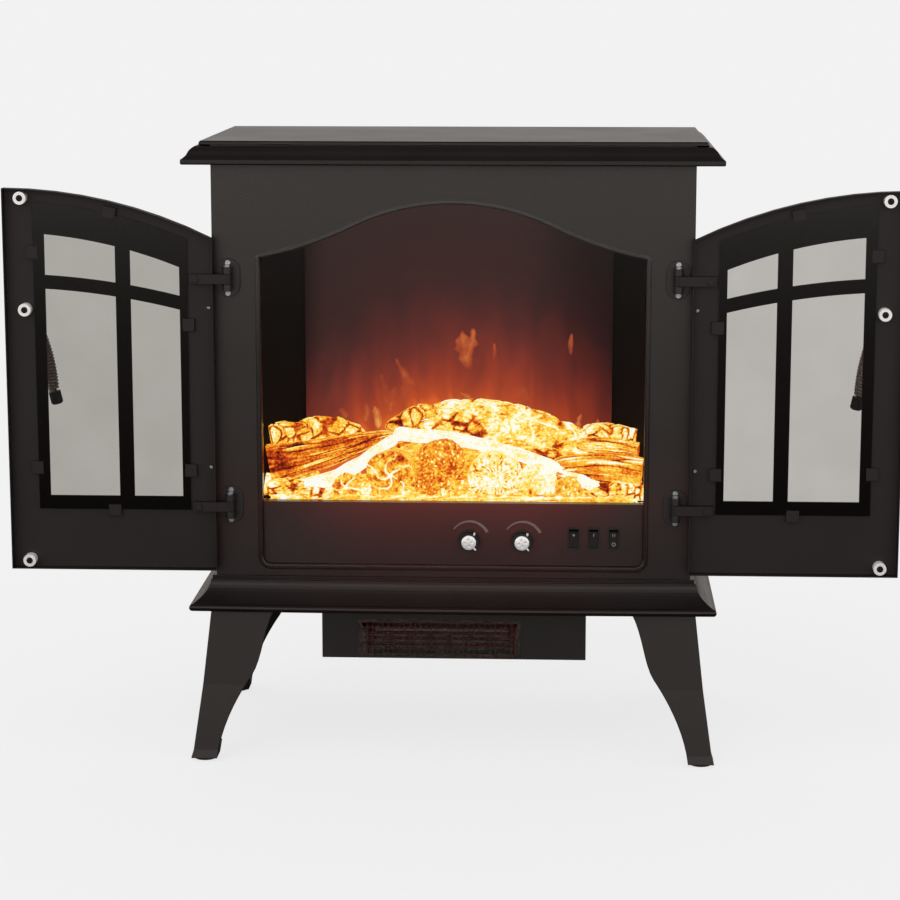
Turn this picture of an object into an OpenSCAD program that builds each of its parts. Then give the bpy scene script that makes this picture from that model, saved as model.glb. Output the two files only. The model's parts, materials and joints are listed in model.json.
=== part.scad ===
// Free-standing electric stove heater with two glazed doors, a lit log set and a fan heater under the
// base.
// +Z is up, the front faces -Y, and the origin is on the floor under the middle of the base.
// The doors are drawn open, turned half a turn from shut about their hinge pins.

/* [Case] */
// Height from the floor to the top of the cap
total_h = 640; // [600:1:720]
// Width of the case over its side panels
case_w = 488; // [460:1:600]
// Depth of the case from the front face to the back face
case_d = 268; // [240:1:340]
// Thickness of the folded steel sheet
sheet = 1; // [0.8:0.1:1.5]
// Height of the legs, from the floor to the underside of the base
leg_h = 158; // [130:1:200]
// Height of the moulded base
base_h = 35; // [28:1:45]
// Height of the cap
cap_h = 23; // [18:1:30]

/* [Mouldings] */
// How far the base stands out at each side
base_side_over = 27; // [20:1:34]
// How far the base stands out at the front corners
base_front_over = 20; // [19:1:30]
// How far the base stands out at the back
base_back_over = 2; // [1:0.5:6]
// How far the cap stands out at each side
cap_side_over = 28; // [20:1:34]
// How far the cap stands out at the front corners
cap_front_over = 19; // [19:1:28]
// How much further the front mouldings stand out in the middle than at the corners
bow = 4; // [1:1:14]
// Wall of the base and the cap
shell_wall = 1.5; // [1.2:0.1:2.5]

/* [Window] */
// Half width of the arched opening in the front panel
window_hw = 195.5; // [170:0.5:205]
// Height of the opening's bottom edge above the base
window_sill = 12; // [8:1:20]
// Height of the opening's arch above the base, at the middle
window_top = 384; // [350:1:400]
// Radius of the arch's middle curve
arch_r = 227; // [200:1:260]
// Slope at which the middle curve turns into the side curves, in degrees
arch_turn = 26; // [22:1:30]
// Slope of the side curves where they meet the upright sides, in degrees
arch_end = 11; // [6:1:14]
// Depth of the flange that is folded in round the opening
window_flange = 12; // [10:1:16]
// Width of the bead round the opening
bead_w = 5; // [3:0.5:7]
// Height of the bead
bead_h = 2.2; // [1.5:0.1:2.4]

/* [Controls] */
// Height of the control panel
panel_h = 65; // [60:1:75]
// How far the control panel lies behind the front face
panel_inset = 5; // [4:0.5:8]
// Distance of the second knob from the side of the opening
knob_in = 124; // [116:0.5:132]
// Distance between the two knobs
knob_pitch = 54.5; // [40:0.5:60]
// Radius of a knob's body
knob_r = 10; // [8:0.5:12]
// Distance of the first switch from the side of the opening
switch_in = 71; // [65:0.5:76]
// Distance between the switches
switch_pitch = 20.5; // [16:0.5:24]
// Angle of a switch's rocker to either side of level, in degrees
rocker_tilt = 7; // [5:1:8]

/* [Doors] */
// Distance of a hinge pin from the side of the case, which sets the doors' width
pin_in = 16.5; // [14:0.5:20]
// Distance of a shut door's free edge from the middle
door_seam = 2; // [1:0.5:4]
// Thickness of a door, from its rim to its outer face
door_t = 12; // [10:1:15]
// Gap between the front face and a shut door's rim
door_gap = 3; // [2.5:0.5:4]
// Height of the doors' bottom edge above the base
door_lift = 9; // [6:1:14]
// Height of a door at its free edge
door_h = 391; // [370:1:400]
// Radius of the arch that the two shut doors share
door_arch_r = 480; // [440:1:560]
// Distance from the hinge edge of a shut door to the hinge pin
pin_reach = 13.5; // [12.5:0.5:26]
// Radius of a hinge pin
pin_r = 2; // [1.5:0.1:2.5]
// Radius of a hinge knuckle
knuckle_r = 5; // [4:0.5:6]
// Length of a handle, from its bend to its end
handle_l = 93; // [80:1:110]

/* [Heater] */
// Width of the heater housing
heater_w = 276; // [240:2:320]
// Depth of the heater housing
heater_d = 150; // [130:1:170]
// How far the heater housing hangs below the base
heater_drop = 59; // [50:1:70]
// Width of the air outlet
outlet_w = 164; // [140:1:180]
// Height of the air outlet
outlet_h = 34; // [28:1:40]
// Spacing of the grille's wires
grille_pitch = 5.6; // [5:0.1:8]
// Radius of the fan wheel
fan_r = 18; // [14:1:20]

/* [Hidden] */
$fn = 32;
eps = 0.01;

BLACK = "#1b1a1a";
CHROME = "#c9ccd0";
GLASS = [0.75, 0.8, 0.8, 0.3];

// Places in the case
case_hw = case_w / 2;
stove_d = case_d + base_front_over + bow + base_back_over;
front_y = -stove_d / 2 + base_front_over + bow;
back_y = front_y + case_d;
base_top = leg_h + base_h;
cap_z = total_h - cap_h;
panel_top = total_h - shell_wall;
sill_z = base_top + window_sill;
arch_z = base_top + window_top;
panel_y = front_y + panel_inset;
panel_t = 2;
panel_gap = 0.3;
glass_t = 3;
glass_z = sill_z + panel_h + 2;
glass_y = front_y + panel_inset + 1;
knob_z = sill_z + 26;
switch_z = sill_z + 29;
hinge_zs = [base_top + 75, base_top + 309];

function drop(r, u) = r - sqrt(r * r - u * u);
function pt(p, a, r) = [p[0] + r * cos(a), p[1] + r * sin(a)];
function bezier(a, b, c, d, n) = [for (i = [0:n]) let (t = i / n)
    a * pow(1 - t, 3) + b * 3 * t * pow(1 - t, 2) + c * 3 * t * t * (1 - t) + d * pow(t, 3)];

// A cylinder that lies along Y or X, from its first end
module rod_y(r, l) { rotate([-90, 0, 0]) cylinder(r = r, h = l); }
module rod_x(r, l) { rotate([0, 90, 0]) cylinder(r = r, h = l); }

// A block given by its lowest and highest corners
module block(a, b) { translate(a) cube(b - a); }

// Places its children's Z axis along the line from a to b
module along(a, b) {
    d = b - a;
    translate(a) rotate([0, acos(d[2] / norm(d)), atan2(d[1], d[0])]) children();
}

// A round bar between two points
module bar(a, b, r) { along(a, b) cylinder(r = r, h = norm(b - a)); }

// Extrudes an outline drawn in X and Z along Y, from y0 to y1
module slab_y(y0, y1) { translate([0, y1, 0]) rotate([90, 0, 0]) linear_extrude(y1 - y0) children(); }

// ---- cap and base ----

// Plan of a moulding that stands out from the case, bowed at the front
function moulding(side, front, back) = let (hw = case_hw + side, y = front_y - front) concat(
    [for (i = [-8:8]) [hw * i / 8, y - bow * (1 - pow(i / 8, 2))]],
    [[hw, back_y + back], [-hw, back_y + back]]);

// A solid that joins the moulding's plans from level to level: each level is [z, side, front, back]
module lofted(levels) {
    rings = [for (l = levels) [for (p = moulding(l[1], l[2], l[3])) [p[0], p[1], l[0]]]];
    n = len(rings[0]);
    m = len(rings);
    walls = [for (k = [0:m - 2], i = [0:n - 1], t = [0, 1]) let (
        low = [k * n + i, k * n + (i + 1) % n],
        high = [(k + 1) * n + i, (k + 1) * n + (i + 1) % n])
        t == 0 ? [low[0], high[0], high[1]] : [low[0], high[1], low[1]]];
    polyhedron(points = [for (r = rings, p = r) p],
        faces = concat([[for (i = [0:n - 1]) i]], [[for (i = [n - 1:-1:0]) (m - 1) * n + i]], walls));
}

lip_h = 5;
step_h = 5;
cap_slope = 13;
cap_step = 4;
case_fit = 0.5;

// A flat lip, an S-shaped slope and a small step up to the top plate
module top_cap() {
    b = base_back_over;
    s = cap_side_over;
    f = cap_front_over;
    w = shell_wall;
    slope_z = cap_z + lip_h;
    slope_h = cap_h - lip_h - step_h;
    function slope(t) = cap_slope * (t + sin(360 * t) / 12);
    levels = concat([[cap_z, s - 1, f - 1, b], [cap_z + 1, s, f, b]],
        [for (i = [0:8]) [slope_z + slope_h * i / 8, s - slope(i / 8), f - slope(i / 8), b]],
        [[total_h - step_h + 0.1, s - cap_slope - cap_step + 1, f - cap_slope - cap_step + 1, b],
            [total_h - 1, s - cap_slope - cap_step, f - cap_slope - cap_step, b],
            [total_h, s - cap_slope - cap_step - 1, f - cap_slope - cap_step - 1, b]]);
    color(BLACK) difference() {
        lofted(levels);
        lofted([[cap_z + w, s - w, f - w, b - w / 2], [slope_z, s - w - 2, f - w - 2, b - w / 2],
            [total_h - w, s - cap_slope - cap_step - w, f - cap_slope - cap_step - w, b - w / 2]]);
        block([-case_hw - case_fit, front_y - case_fit, cap_z - 1], [case_hw + case_fit,
            back_y + case_fit, cap_z + w + 1]);
    }
}

// Opening in the base for the heater housing
duct_gap = 1;
heater_y0 = front_y + 28;
nose_h = 8;
base_slope = 17;
base_step = 4;
intake_w = 60;
intake_d = 40;
intake_pitch = 90;

// A rounded nose, a hollow slope and a small step up to the case
module base_plinth() {
    b = base_back_over;
    s = base_side_over;
    f = base_front_over;
    w = shell_wall;
    slope_h = base_h - nose_h - base_step;
    function slope(t) = base_slope * (1 - pow(1 - t, 2));
    function front_slope(t) = 0.8 * slope(t);
    levels = concat(
        [for (i = [0:6]) let (u = -90 + 30 * i, in = nose_h / 2 * (1 - cos(u)))
            [leg_h + nose_h / 2 * (1 + sin(u)), s - in, f - in, b]],
        [for (i = [1:8]) [leg_h + nose_h + slope_h * i / 8, s - nose_h / 2 - slope(i / 8),
            f - nose_h / 2 - front_slope(i / 8), b]],
        [[base_top - base_step + 0.1, s - nose_h / 2 - base_slope - 1.5,
            f - nose_h / 2 - 0.8 * base_slope - 1.5, b],
            [base_top, s - nose_h / 2 - base_slope - 1.5, f - nose_h / 2 - 0.8 * base_slope - 1.5, b]]);
    color(BLACK) difference() {
        lofted(levels);
        lofted([[leg_h + w, s - nose_h - w, f - nose_h - w, b - w / 2],
            [base_top - w, s - nose_h / 2 - base_slope - 3 - w,
                f - nose_h / 2 - 0.8 * base_slope - 3 - w, b - w / 2]]);
        block([-heater_w / 2 - duct_gap, heater_y0 - duct_gap, leg_h - 1],
            [heater_w / 2 + duct_gap, heater_y0 + heater_d + duct_gap, leg_h + w + 1]);
        for (i = [-1:1]) translate([i * intake_pitch, heater_y0 + heater_d - intake_d - 10,
            base_top - w - 1])
            block([-intake_w / 2, 0, 0], [intake_w / 2, intake_d, w + 2]);
        leg_bolt_places() translate([0, 0, leg_h - 1]) cylinder(r = bolt_r + 0.1, h = w + 2);
    }
}

// ---- legs ----

leg_side = 6;
leg_front = 3;
leg_splay = 21;
leg_top_w = 66;
foot_w = 27;
leg_wall = 5;
pad_t = 2.5;
bolt_r = 2.9;
flange_t = 4;
leg_top_z = leg_h;

// Outer edge of a leg seen square on, as distance out from the leg's top corner
function leg_outer() = [[0, leg_top_z], [0.42 * leg_splay, 0.5 * leg_h], [0.88 * leg_splay,
    0.07 * leg_h], [leg_splay, pad_t]];
function leg_inner() = concat(
    bezier([leg_splay - foot_w, pad_t], [leg_splay - foot_w - 4, 0.24 * leg_h], [-leg_top_w / 2 + 2,
        0.46 * leg_h],
        [-leg_top_w / 2 - 9, 0.56 * leg_h], 10),
    bezier([-leg_top_w / 2 - 9, 0.56 * leg_h], [-leg_top_w / 2 - 20, 0.67 * leg_h],
        [-leg_top_w / 2 - 20, 0.85 * leg_h],
        [-leg_top_w, leg_top_z], 8));

// A leg with its top outer corner over the origin, splayed out along +X and +Y
module leg() {
    color(BLACK) difference() {
        intersection() {
            leg_extrusion() polygon(concat(leg_outer(), leg_inner()));
            leg_turned() leg_extrusion() polygon(concat(leg_outer(), leg_inner()));
        }
        intersection() {
            leg_extrusion() leg_hollow();
            leg_turned() leg_extrusion() leg_hollow();
        }
        for (p = bolt_spots) translate([p[0], p[1], leg_top_z - flange_t - 1])
            cylinder(r = bolt_r + 0.1, h = flange_t + 2);
    }
}

bolt_spots = [[-18, -46], [-46, -18]];

// The space behind a leg's two faces, which stops short of the foot and of the top flange
module leg_hollow() {
    polygon([[-leg_wall, leg_top_z - flange_t], [0.42 * leg_splay - leg_wall, 0.5 * leg_h],
        [0.8 * leg_splay - leg_wall, 0.1 * leg_h],
        [-leg_top_w - 1, 0.1 * leg_h], [-leg_top_w - 1, leg_top_z - flange_t]]);
}

module leg_extrusion() { translate([0, leg_splay + 1, 0]) rotate([90, 0,
    0]) linear_extrude(leg_top_w + leg_splay + 2) children(); }
module leg_turned() { mirror([1, -1, 0]) children(); }

leg_x = case_hw + leg_side;
leg_y = stove_d / 2 - leg_splay;

// side is 1 at the right and -1 at the left, end is -1 at the front and 1 at the rear
module leg_at(side, end) { scale_mirror(side, end) translate([leg_x, leg_y, 0]) children(); }
module scale_mirror(side, end) { mirror([side < 0 ? 1 : 0, 0, 0]) mirror([0, end < 0 ? 1 : 0,
    0]) children(); }
module leg_bolt_places() {
    for (side = [-1, 1], end = [-1, 1]) leg_at(side, end) for (p = bolt_spots) translate([p[0], p[1],
        0]) children();
}

module leg_bolts() {
    color(CHROME) leg_bolt_places() translate([0, 0, leg_top_z - flange_t]) {
        translate([0, 0, -3.5]) cylinder(r = 5, h = 3.5);
        cylinder(r = bolt_r, h = flange_t + shell_wall + 4);
    }
}

module foot_pads() {
    color("#111111") for (side = [-1, 1], end = [-1, 1]) leg_at(side, end)
        translate([leg_splay - foot_w / 2, leg_splay - foot_w / 2, 0]) cylinder(r = 11, h = pad_t);
}

// ---- front panel and window ----

// The opening's outline, grown by d on every side
corner_r = 8;
function window_outline(d) = let (
        top = [0, arch_z - arch_r],
        x1 = arch_r * sin(arch_turn),
        r2 = (window_hw - x1) / (sin(arch_turn) - sin(arch_end)),
        c2 = [x1 + r2 * sin(arch_turn), top[1] + (arch_r + r2) * cos(arch_turn)],
        right = concat(
            [for (i = [0:10]) pt(top, 90 - arch_turn * i / 10, arch_r + d)],
            [for (i = [1:8]) let (a = arch_turn + (arch_end - arch_turn) * i / 8) pt(c2, 270 - a,
                r2 - d)]),
        side = [for (p = right) [min(p[0], window_hw + d), p[1]]],
        bottom = [for (i = [0:4]) pt([window_hw - corner_r, sill_z + corner_r], -90 * i / 4,
            corner_r + d)],
        half = concat(side, [[window_hw + d, side[len(side) - 1][1] - 4]], bottom))
    concat(half, [for (i = [len(half) - 1:-1:1]) [-half[i][0], half[i][1]]]);

module window_shape(d) { polygon(window_outline(d)); }

module front_panel() {
    color(BLACK) difference() {
        union() {
            block([-case_hw, front_y, base_top], [case_hw, front_y + sheet, panel_top]);
            slab_y(front_y + sheet - eps, front_y + window_flange) window_shape(sheet);
        }
        slab_y(front_y - 1, front_y + window_flange + 1) window_shape(0);
    }
}

module window_bead() {
    color("#2a2826") difference() {
        union() {
            slab_y(front_y - bead_h / 2, front_y) window_shape(bead_w);
            slab_y(front_y - bead_h, front_y - bead_h / 2) window_shape(bead_w - 1);
        }
        slab_y(front_y - bead_h - 1, front_y + 1) window_shape(0);
        slab_y(front_y - bead_h - 1, front_y - bead_h / 2) window_shape(1);
    }
}

module front_glass() {
    color(GLASS) intersection() {
        slab_y(glass_y, glass_y + glass_t) window_shape(-0.5);
        block([-case_hw, glass_y - 1, glass_z], [case_hw, glass_y + glass_t + 1, arch_z + 10]);
    }
}

flange_w = 18;
// A sheet with a flange folded in along the front and the back
module side_panel(side) {
    color(BLACK) mirror([side < 0 ? 1 : 0, 0, 0]) difference() {
        block([case_hw - flange_w, front_y + sheet, base_top], [case_hw, back_y - sheet, panel_top]);
        block([case_hw - flange_w - 1, front_y + 2 * sheet, base_top - 1], [case_hw - sheet,
            back_y - 2 * sheet, panel_top + 1]);
        for (p = screw_spots) if (p[0] > 0) translate([p[0], back_y - 2 * sheet - 1,
            p[1]]) rod_y(screw_r + 0.1, sheet + 2);
    }
}

vent_w = 60;
vent_h = 4;
vent_pitch = 11;
gland_x = 180;
gland_z = base_top + 32;
gland_r = 8;
module back_panel() {
    color(BLACK) difference() {
        block([-case_hw, back_y - sheet, base_top], [case_hw, back_y, panel_top]);
        for (x = [-130, 0, 130], i = [0:7]) translate([x, 0,
            base_top + 250 + i * vent_pitch]) vent_slot();
        for (x = [-130, 0], i = [0:4]) translate([x, 0, base_top + 30 + i * vent_pitch]) vent_slot();
        translate([gland_x, back_y - sheet - 1, gland_z]) rod_y(gland_r, sheet + 2);
        for (p = screw_spots) translate([p[0], back_y - sheet - 1, p[1]]) rod_y(screw_r + 0.1, sheet + 2);
    }
}
module vent_slot() {
    block([-vent_w / 2, back_y - sheet - 1, -vent_h / 2], [vent_w / 2, back_y + 1, vent_h / 2]);
    for (x = [-vent_w / 2, vent_w / 2]) translate([x, back_y - sheet - 1, 0]) rod_y(vent_h / 2,
        sheet + 2);
}

screw_r = 1.9;
screw_margin = 10;
screw_rows = 4;
screw_spots = [for (x = [-1, 1], i = [0:screw_rows - 1]) [x * (case_hw - screw_margin),
    base_top + screw_margin + i * (cap_z - base_top - 2 * screw_margin) / (screw_rows - 1)]];
module case_screws() {
    color(CHROME) {
        for (p = screw_spots) translate([p[0], back_y, p[1]]) {
            rod_y(4, 1.8);
            mirror([0, 1, 0]) rod_y(screw_r, 7);
        }
        for (side = [-1, 1], z = hinge_zs, e = [-1, 1]) translate([side * pin_x, front_y - plate_t,
            z + e * plate_screw])
            mirror([0, 1, 0]) rod_y(2.6, 1.4);
    }
}

// The gland lets the mains lead out; the lead itself is not part of the model
module cable_gland() {
    color("#0f0f0f") translate([gland_x, back_y, gland_z]) difference() {
        union() {
            mirror([0, 1, 0]) rod_y(gland_r - 0.1, 7);
            rod_y(gland_r + 3, 1.9);
            translate([0, -10, 0]) rod_y(gland_r - 0.1, 3);
        }
        translate([0, -12, 0]) rod_y(3.6, 20);
    }
}

// ---- control panel ----

knob_xs = [window_hw - knob_in - knob_pitch, window_hw - knob_in];
switch_xs = [for (i = [0:2]) window_hw - switch_in + i * switch_pitch];
housing_w = 12.5;
housing_h = 23.5;
housing_flange = 1.4;
housing_depth = 16;
rocker_w = 9;
rocker_h = 17;
rocker_slack = 0.3;
pivot_r = 2.4;
stem_r = 3;
stem_reach = 14;

module control_panel() {
    color(BLACK) difference() {
        union() {
            block([-window_hw + panel_gap, panel_y, sill_z + panel_gap],
                [window_hw - panel_gap, panel_y + panel_t, sill_z + panel_h]);
            block([-window_hw + panel_gap, panel_y + panel_t - eps, sill_z + panel_h - panel_t],
                [window_hw - panel_gap, front_y + window_flange + 6, sill_z + panel_h]);
        }
        for (s = [-1, 1]) panel_corner(s);
        for (x = knob_xs) translate([x, panel_y - 1, knob_z]) rod_y(stem_r + 1, panel_t + 2);
        for (x = switch_xs) block([x - housing_w / 2 + 1, panel_y - 1, switch_z - housing_h / 2 + 1],
            [x + housing_w / 2 - 1, panel_y + panel_t + 1, switch_z + housing_h / 2 - 1]);
    }
}

// Rounds a bottom corner of the control panel to the opening's own corner
module panel_corner(s) {
    translate([s * (window_hw - corner_r), panel_y - 1, sill_z + corner_r]) difference() {
        block([s > 0 ? 0 : -corner_r - 1, 0, -corner_r - 1], [s > 0 ? corner_r + 1 : 0, panel_t + 2, 0]);
        translate([0, -1, 0]) rod_y(corner_r - panel_gap, panel_t + 4);
    }
}

module switch_housings() {
    color("#141414") for (x = switch_xs) translate([x, panel_y, switch_z]) difference() {
        union() {
            block([-housing_w / 2, -housing_flange, -housing_h / 2], [housing_w / 2, 0, housing_h / 2]);
            block([-housing_w / 2 + 1.1, -eps, -housing_h / 2 + 1.1], [housing_w / 2 - 1.1,
                housing_depth, housing_h / 2 - 1.1]);
        }
        block([-rocker_w / 2 - rocker_slack, -housing_flange - 1, -housing_h / 2 + 1.9],
            [rocker_w / 2 + rocker_slack, housing_depth - 2, housing_h / 2 - 1.9]);
    }
}

rocker_axis_y = panel_y + 6;
// A rocker at rest, tipped to its on side
module rocker(x) {
    color("#101010") translate([x, rocker_axis_y, switch_z]) rotate([rocker_tilt, 0, 0]) {
        block([-rocker_w / 2, -8.2, -rocker_h / 2], [rocker_w / 2, -3, rocker_h / 2]);
        block([-rocker_w / 2, -3 - eps, -pivot_r], [rocker_w / 2, 0, pivot_r]);
        translate([-rocker_w / 2, 0, 0]) rod_x(pivot_r, rocker_w);
    }
}

mark_t = 0.3;
mark_r = 19;
mark_from = 143;
mark_to = 25;
// A tapered arc over each knob shows which way to turn it
module dial_marks() {
    n = 24;
    function a(i) = mark_from + (mark_to - mark_from) * i / n;
    color("#8d8d8d") for (x = knob_xs) translate([x, 0, knob_z]) slab_y(panel_y - mark_t, panel_y)
        polygon(concat([for (i = [0:n]) pt([0, 0], a(i), mark_r)], [for (i = [n:-1:0]) pt([0, 0], a(i),
            mark_r + 1.2 + 1.8 * i / n)]));
}

knob_front = 9;
knob_back = panel_inset - 0.5;
knob_turn = 32;
// A knob, with its pointer turned clockwise from straight up
module knob(x) {
    color("#0d0d0d") translate([x, 0, knob_z]) difference() {
        union() {
            translate([0, front_y + knob_back - 2.5, 0]) rod_y(knob_r + 1.6, 2.5);
            translate([0, front_y - knob_front + 2, 0]) rod_y(knob_r, knob_front + knob_back - 2);
            rotate([0, knob_turn, 0]) block([-1.3, front_y + knob_back - 4.5, 0], [1.3,
                front_y + knob_back - 2.5, knob_r + 1.4]);
            translate([0, front_y + knob_back - eps, 0]) rod_y(stem_r,
                panel_y + panel_t + stem_reach - front_y - knob_back);
        }
        translate([0, front_y - knob_front, 0]) rod_y(knob_r - 2.4, 3.2);
    }
}

module knob_cap(x) {
    color(CHROME) translate([x, front_y - knob_front, knob_z]) difference() {
        rod_y(knob_r - 2.5, 3.2);
        for (a = [0:60:300]) rotate([0, a + knob_turn, 0]) translate([0, -1, knob_r - 2.2]) rod_y(1.2,
            1.9);
    }
}

module control_box(x, w, h) {
    color("#2b2b2b") translate([x, panel_y + panel_t, knob_z]) difference() {
        union() {
            block([-w / 2, 2, -h / 2], [w / 2, stem_reach + 5, h / 2]);
            rod_y(stem_r + 2.4, 3);
        }
        translate([0, -1, 0]) rod_y(stem_r + bearing_gap, stem_reach + 2);
    }
}
module thermostat() { control_box(knob_xs[0], 34, 28); }
module dimmer() { control_box(knob_xs[1], 18, 18); }

// ---- firebox ----

fire_y0 = front_y + window_flange + 7;
fire_y1 = front_y + 143;
fire_front_hw = window_hw + 5;
fire_back_hw = 165;
fire_floor = glass_z - 11;
fire_top = arch_z + 14;
screen_t = 3;

// The box's sides and roof reach forward to the front panel, and its floor stops short of the control
// panel
function fire_plan(d) = [[-fire_front_hw - d, front_y + sheet], [fire_front_hw + d, front_y + sheet],
    [fire_front_hw + d, fire_y0], [fire_back_hw + d, fire_y1 + d], [-fire_back_hw - d, fire_y1 + d],
        [-fire_front_hw - d, fire_y0]];
module firebox() {
    color("#100e0d") difference() {
        translate([0, 0, fire_floor - sheet]) linear_extrude(fire_top - fire_floor + 2 * sheet)
            polygon(fire_plan(sheet));
        translate([0, 0, fire_floor]) linear_extrude(fire_top - fire_floor) polygon(fire_plan(0));
        block([-fire_front_hw, front_y, fire_floor], [fire_front_hw, front_y + sheet + 1, fire_top]);
        block([-fire_front_hw - sheet - 1, front_y, fire_floor - sheet - 1],
            [fire_front_hw + sheet + 1, fire_y0, glass_z - 1]);
        block([-fire_back_hw + 4, fire_y1 - 1, fire_floor + 4], [fire_back_hw - 4, fire_y1 + sheet + 1,
            fire_top - 6]);
    }
}

module flame_screen() {
    color([0.25, 0.1, 0.06, 0.9]) block([-fire_back_hw + 1, fire_y1 - screen_t,
        fire_floor + bed_h + 1], [fire_back_hw - 1, fire_y1, fire_top - 1]);
}

bed_h = 12;
module ember_bed() {
    color("#ff7a1a") translate([0, 0, fire_floor]) linear_extrude(bed_h) polygon([[-fire_front_hw + 3,
        fire_y0 + 2], [fire_front_hw - 3, fire_y0 + 2],
        [fire_back_hw - 2, fire_y1 - screen_t - 0.5], [-fire_back_hw + 2, fire_y1 - screen_t - 0.5]]);
}

// The log set is one moulding of crossed logs and cut ends on the ember bed
bed_z = fire_floor + bed_h;
log_y = fire_y0 + 46;
module log_set() {
    color("#ffb347") intersection() {
        union() {
            bar([-178, log_y + 8, bed_z + 14], [-58, log_y - 4, bed_z + 46], 22);
            bar([-48, log_y + 30, bed_z + 62], [140, log_y + 22, bed_z + 34], 27);
            bar([70, log_y - 6, bed_z + 38], [178, log_y + 4, bed_z + 12], 21);
            bar([-172, log_y + 46, bed_z + 40], [-100, log_y + 50, bed_z + 46], 22);
            bar([130, log_y + 48, bed_z + 38], [160, log_y + 46, bed_z + 34], 20);
            translate([-58, log_y - 40, bed_z + 22]) rod_y(26, 70);
            translate([40, log_y - 40, bed_z + 24]) rod_y(30, 70);
            translate([-6, log_y - 34, bed_z + 30]) rod_y(24, 60);
        }
        translate([0, 0, bed_z]) linear_extrude(110) intersection() {
            polygon(fire_plan(-2));
            translate([-fire_front_hw, fire_y0 + 3]) square([2 * fire_front_hw,
                fire_y1 - screen_t - 4 - fire_y0]);
        }
    }
}

// ---- lamp and flame rotor, behind the screen ----

tray_z = fire_floor - 8;
rotor_y = fire_y1 + 42;
rotor_z = tray_z + 44;
rotor_hl = 148;
rotor_rod = 2.5;
bearing_gap = 0.08;

module light_tray() {
    color("#8a8f94") difference() {
        union() {
            block([-case_hw + sheet, fire_y1 + sheet + 0.5, tray_z], [case_hw - sheet,
                back_y - 2 * sheet, tray_z + sheet]);
            for (x = [-rotor_hl - 14, rotor_hl + 12]) block([x, rotor_y - 16, tray_z + sheet - eps],
                [x + 2, rotor_y + 16, rotor_z + 16]);
        }
        translate([-rotor_hl - 15, rotor_y, rotor_z]) rod_x(6, 4);
        translate([rotor_hl + 11, rotor_y, rotor_z]) rod_x(6, 4);
    }
}

module light_board() {
    color("#e8e4d8") {
        block([-rotor_hl, fire_y1 + 8, tray_z + sheet], [rotor_hl, fire_y1 + 26, tray_z + sheet + 1.6]);
        for (i = [-6:6]) translate([i * 22, fire_y1 + 17, tray_z + sheet + 1.6 - eps])
            cylinder(r = 2.5, h = 3);
    }
}

module flame_motor() {
    color("#6d7378") translate([rotor_hl + 14, rotor_y, rotor_z]) difference() {
        union() {
            rod_x(21, 18);
            translate([-4, 0, 0]) rod_x(5.8, 5);
        }
        translate([-5, 0, 0]) rod_x(rotor_rod + bearing_gap, 16);
    }
}

module shaft_bushes() {
    color("#b08d3f") {
        translate([-rotor_hl - 18, rotor_y, rotor_z]) difference() {
            rod_x(5.8, 8);
            translate([2, 0, 0]) rod_x(rotor_rod + bearing_gap, 8);
        }
        translate([-outlet_w / 2 + outlet_x - 13, fan_y, fan_z]) difference() {
            rod_x(7, 8);
            translate([2, 0, 0]) rod_x(fan_shaft + bearing_gap, 8);
        }
    }
}

// A rod with twisted rows of bright foil tongues
module flame_rotor() {
    color("#d8dadd") translate([0, rotor_y, rotor_z]) {
        translate([-rotor_hl - 15, 0, 0]) rod_x(rotor_rod, 2 * rotor_hl + 36);
        for (i = [-6:6]) translate([i * 22, 0, 0]) rotate([i * 50, 0, 0])
            block([-8, -14, -0.4], [8, 14, 0.4]);
    }
}

// ---- fan heater ----

fan_plate_x = outlet_w / 2 + 11;
outlet_x = -15;
outlet_z = leg_h - 37;
fan_shaft = 3;
fan_y = heater_y0 + 75;
fan_z = leg_h - heater_drop + fan_r + 8;
fan_hl = outlet_w / 2 - 8;

module heater_housing() {
    z0 = leg_h - heater_drop;
    z1 = base_top - shell_wall;
    color(BLACK) difference() {
        block([-heater_w / 2, heater_y0, z0], [heater_w / 2, heater_y0 + heater_d, z1]);
        block([-heater_w / 2 + sheet, heater_y0 + sheet, z0 + sheet], [heater_w / 2 - sheet,
            heater_y0 + heater_d - sheet, z1 + 1]);
        block([outlet_x - outlet_w / 2, heater_y0 - 1, outlet_z - outlet_h / 2],
            [outlet_x + outlet_w / 2, heater_y0 + sheet + 1, outlet_z + outlet_h / 2]);
        for (i = [-5:5]) block([i * 22 - 7, heater_y0 + heater_d - sheet - 1, z0 + 12], [i * 22 + 7,
            heater_y0 + heater_d + 1, z0 + 40]);
    }
    color(BLACK) difference() {
        block([outlet_x - fan_plate_x, fan_y - 12, z0 + sheet - eps], [outlet_x - fan_plate_x + 2,
            fan_y + 12, fan_z + 12]);
        translate([outlet_x - fan_plate_x - 1, fan_y, fan_z]) rod_x(7.1, 4);
    }
}

grille_rim = 3;
grille_wire = 1;
module heater_grille() {
    nx = floor(outlet_w / grille_pitch);
    nz = floor(outlet_h / grille_pitch);
    w = outlet_w + 2 * grille_rim;
    h = outlet_h + 2 * grille_rim;
    color("#2b2422") translate([outlet_x, 0, outlet_z]) slab_y(heater_y0 - 1.4, heater_y0) difference() {
        square([w, h], center = true);
        for (i = [0:nx - 1], k = [0:nz - 1]) translate([(i - (nx - 1) / 2) * grille_pitch,
            (k - (nz - 1) / 2) * grille_pitch])
            square(grille_pitch - grille_wire, center = true);
    }
}

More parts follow.
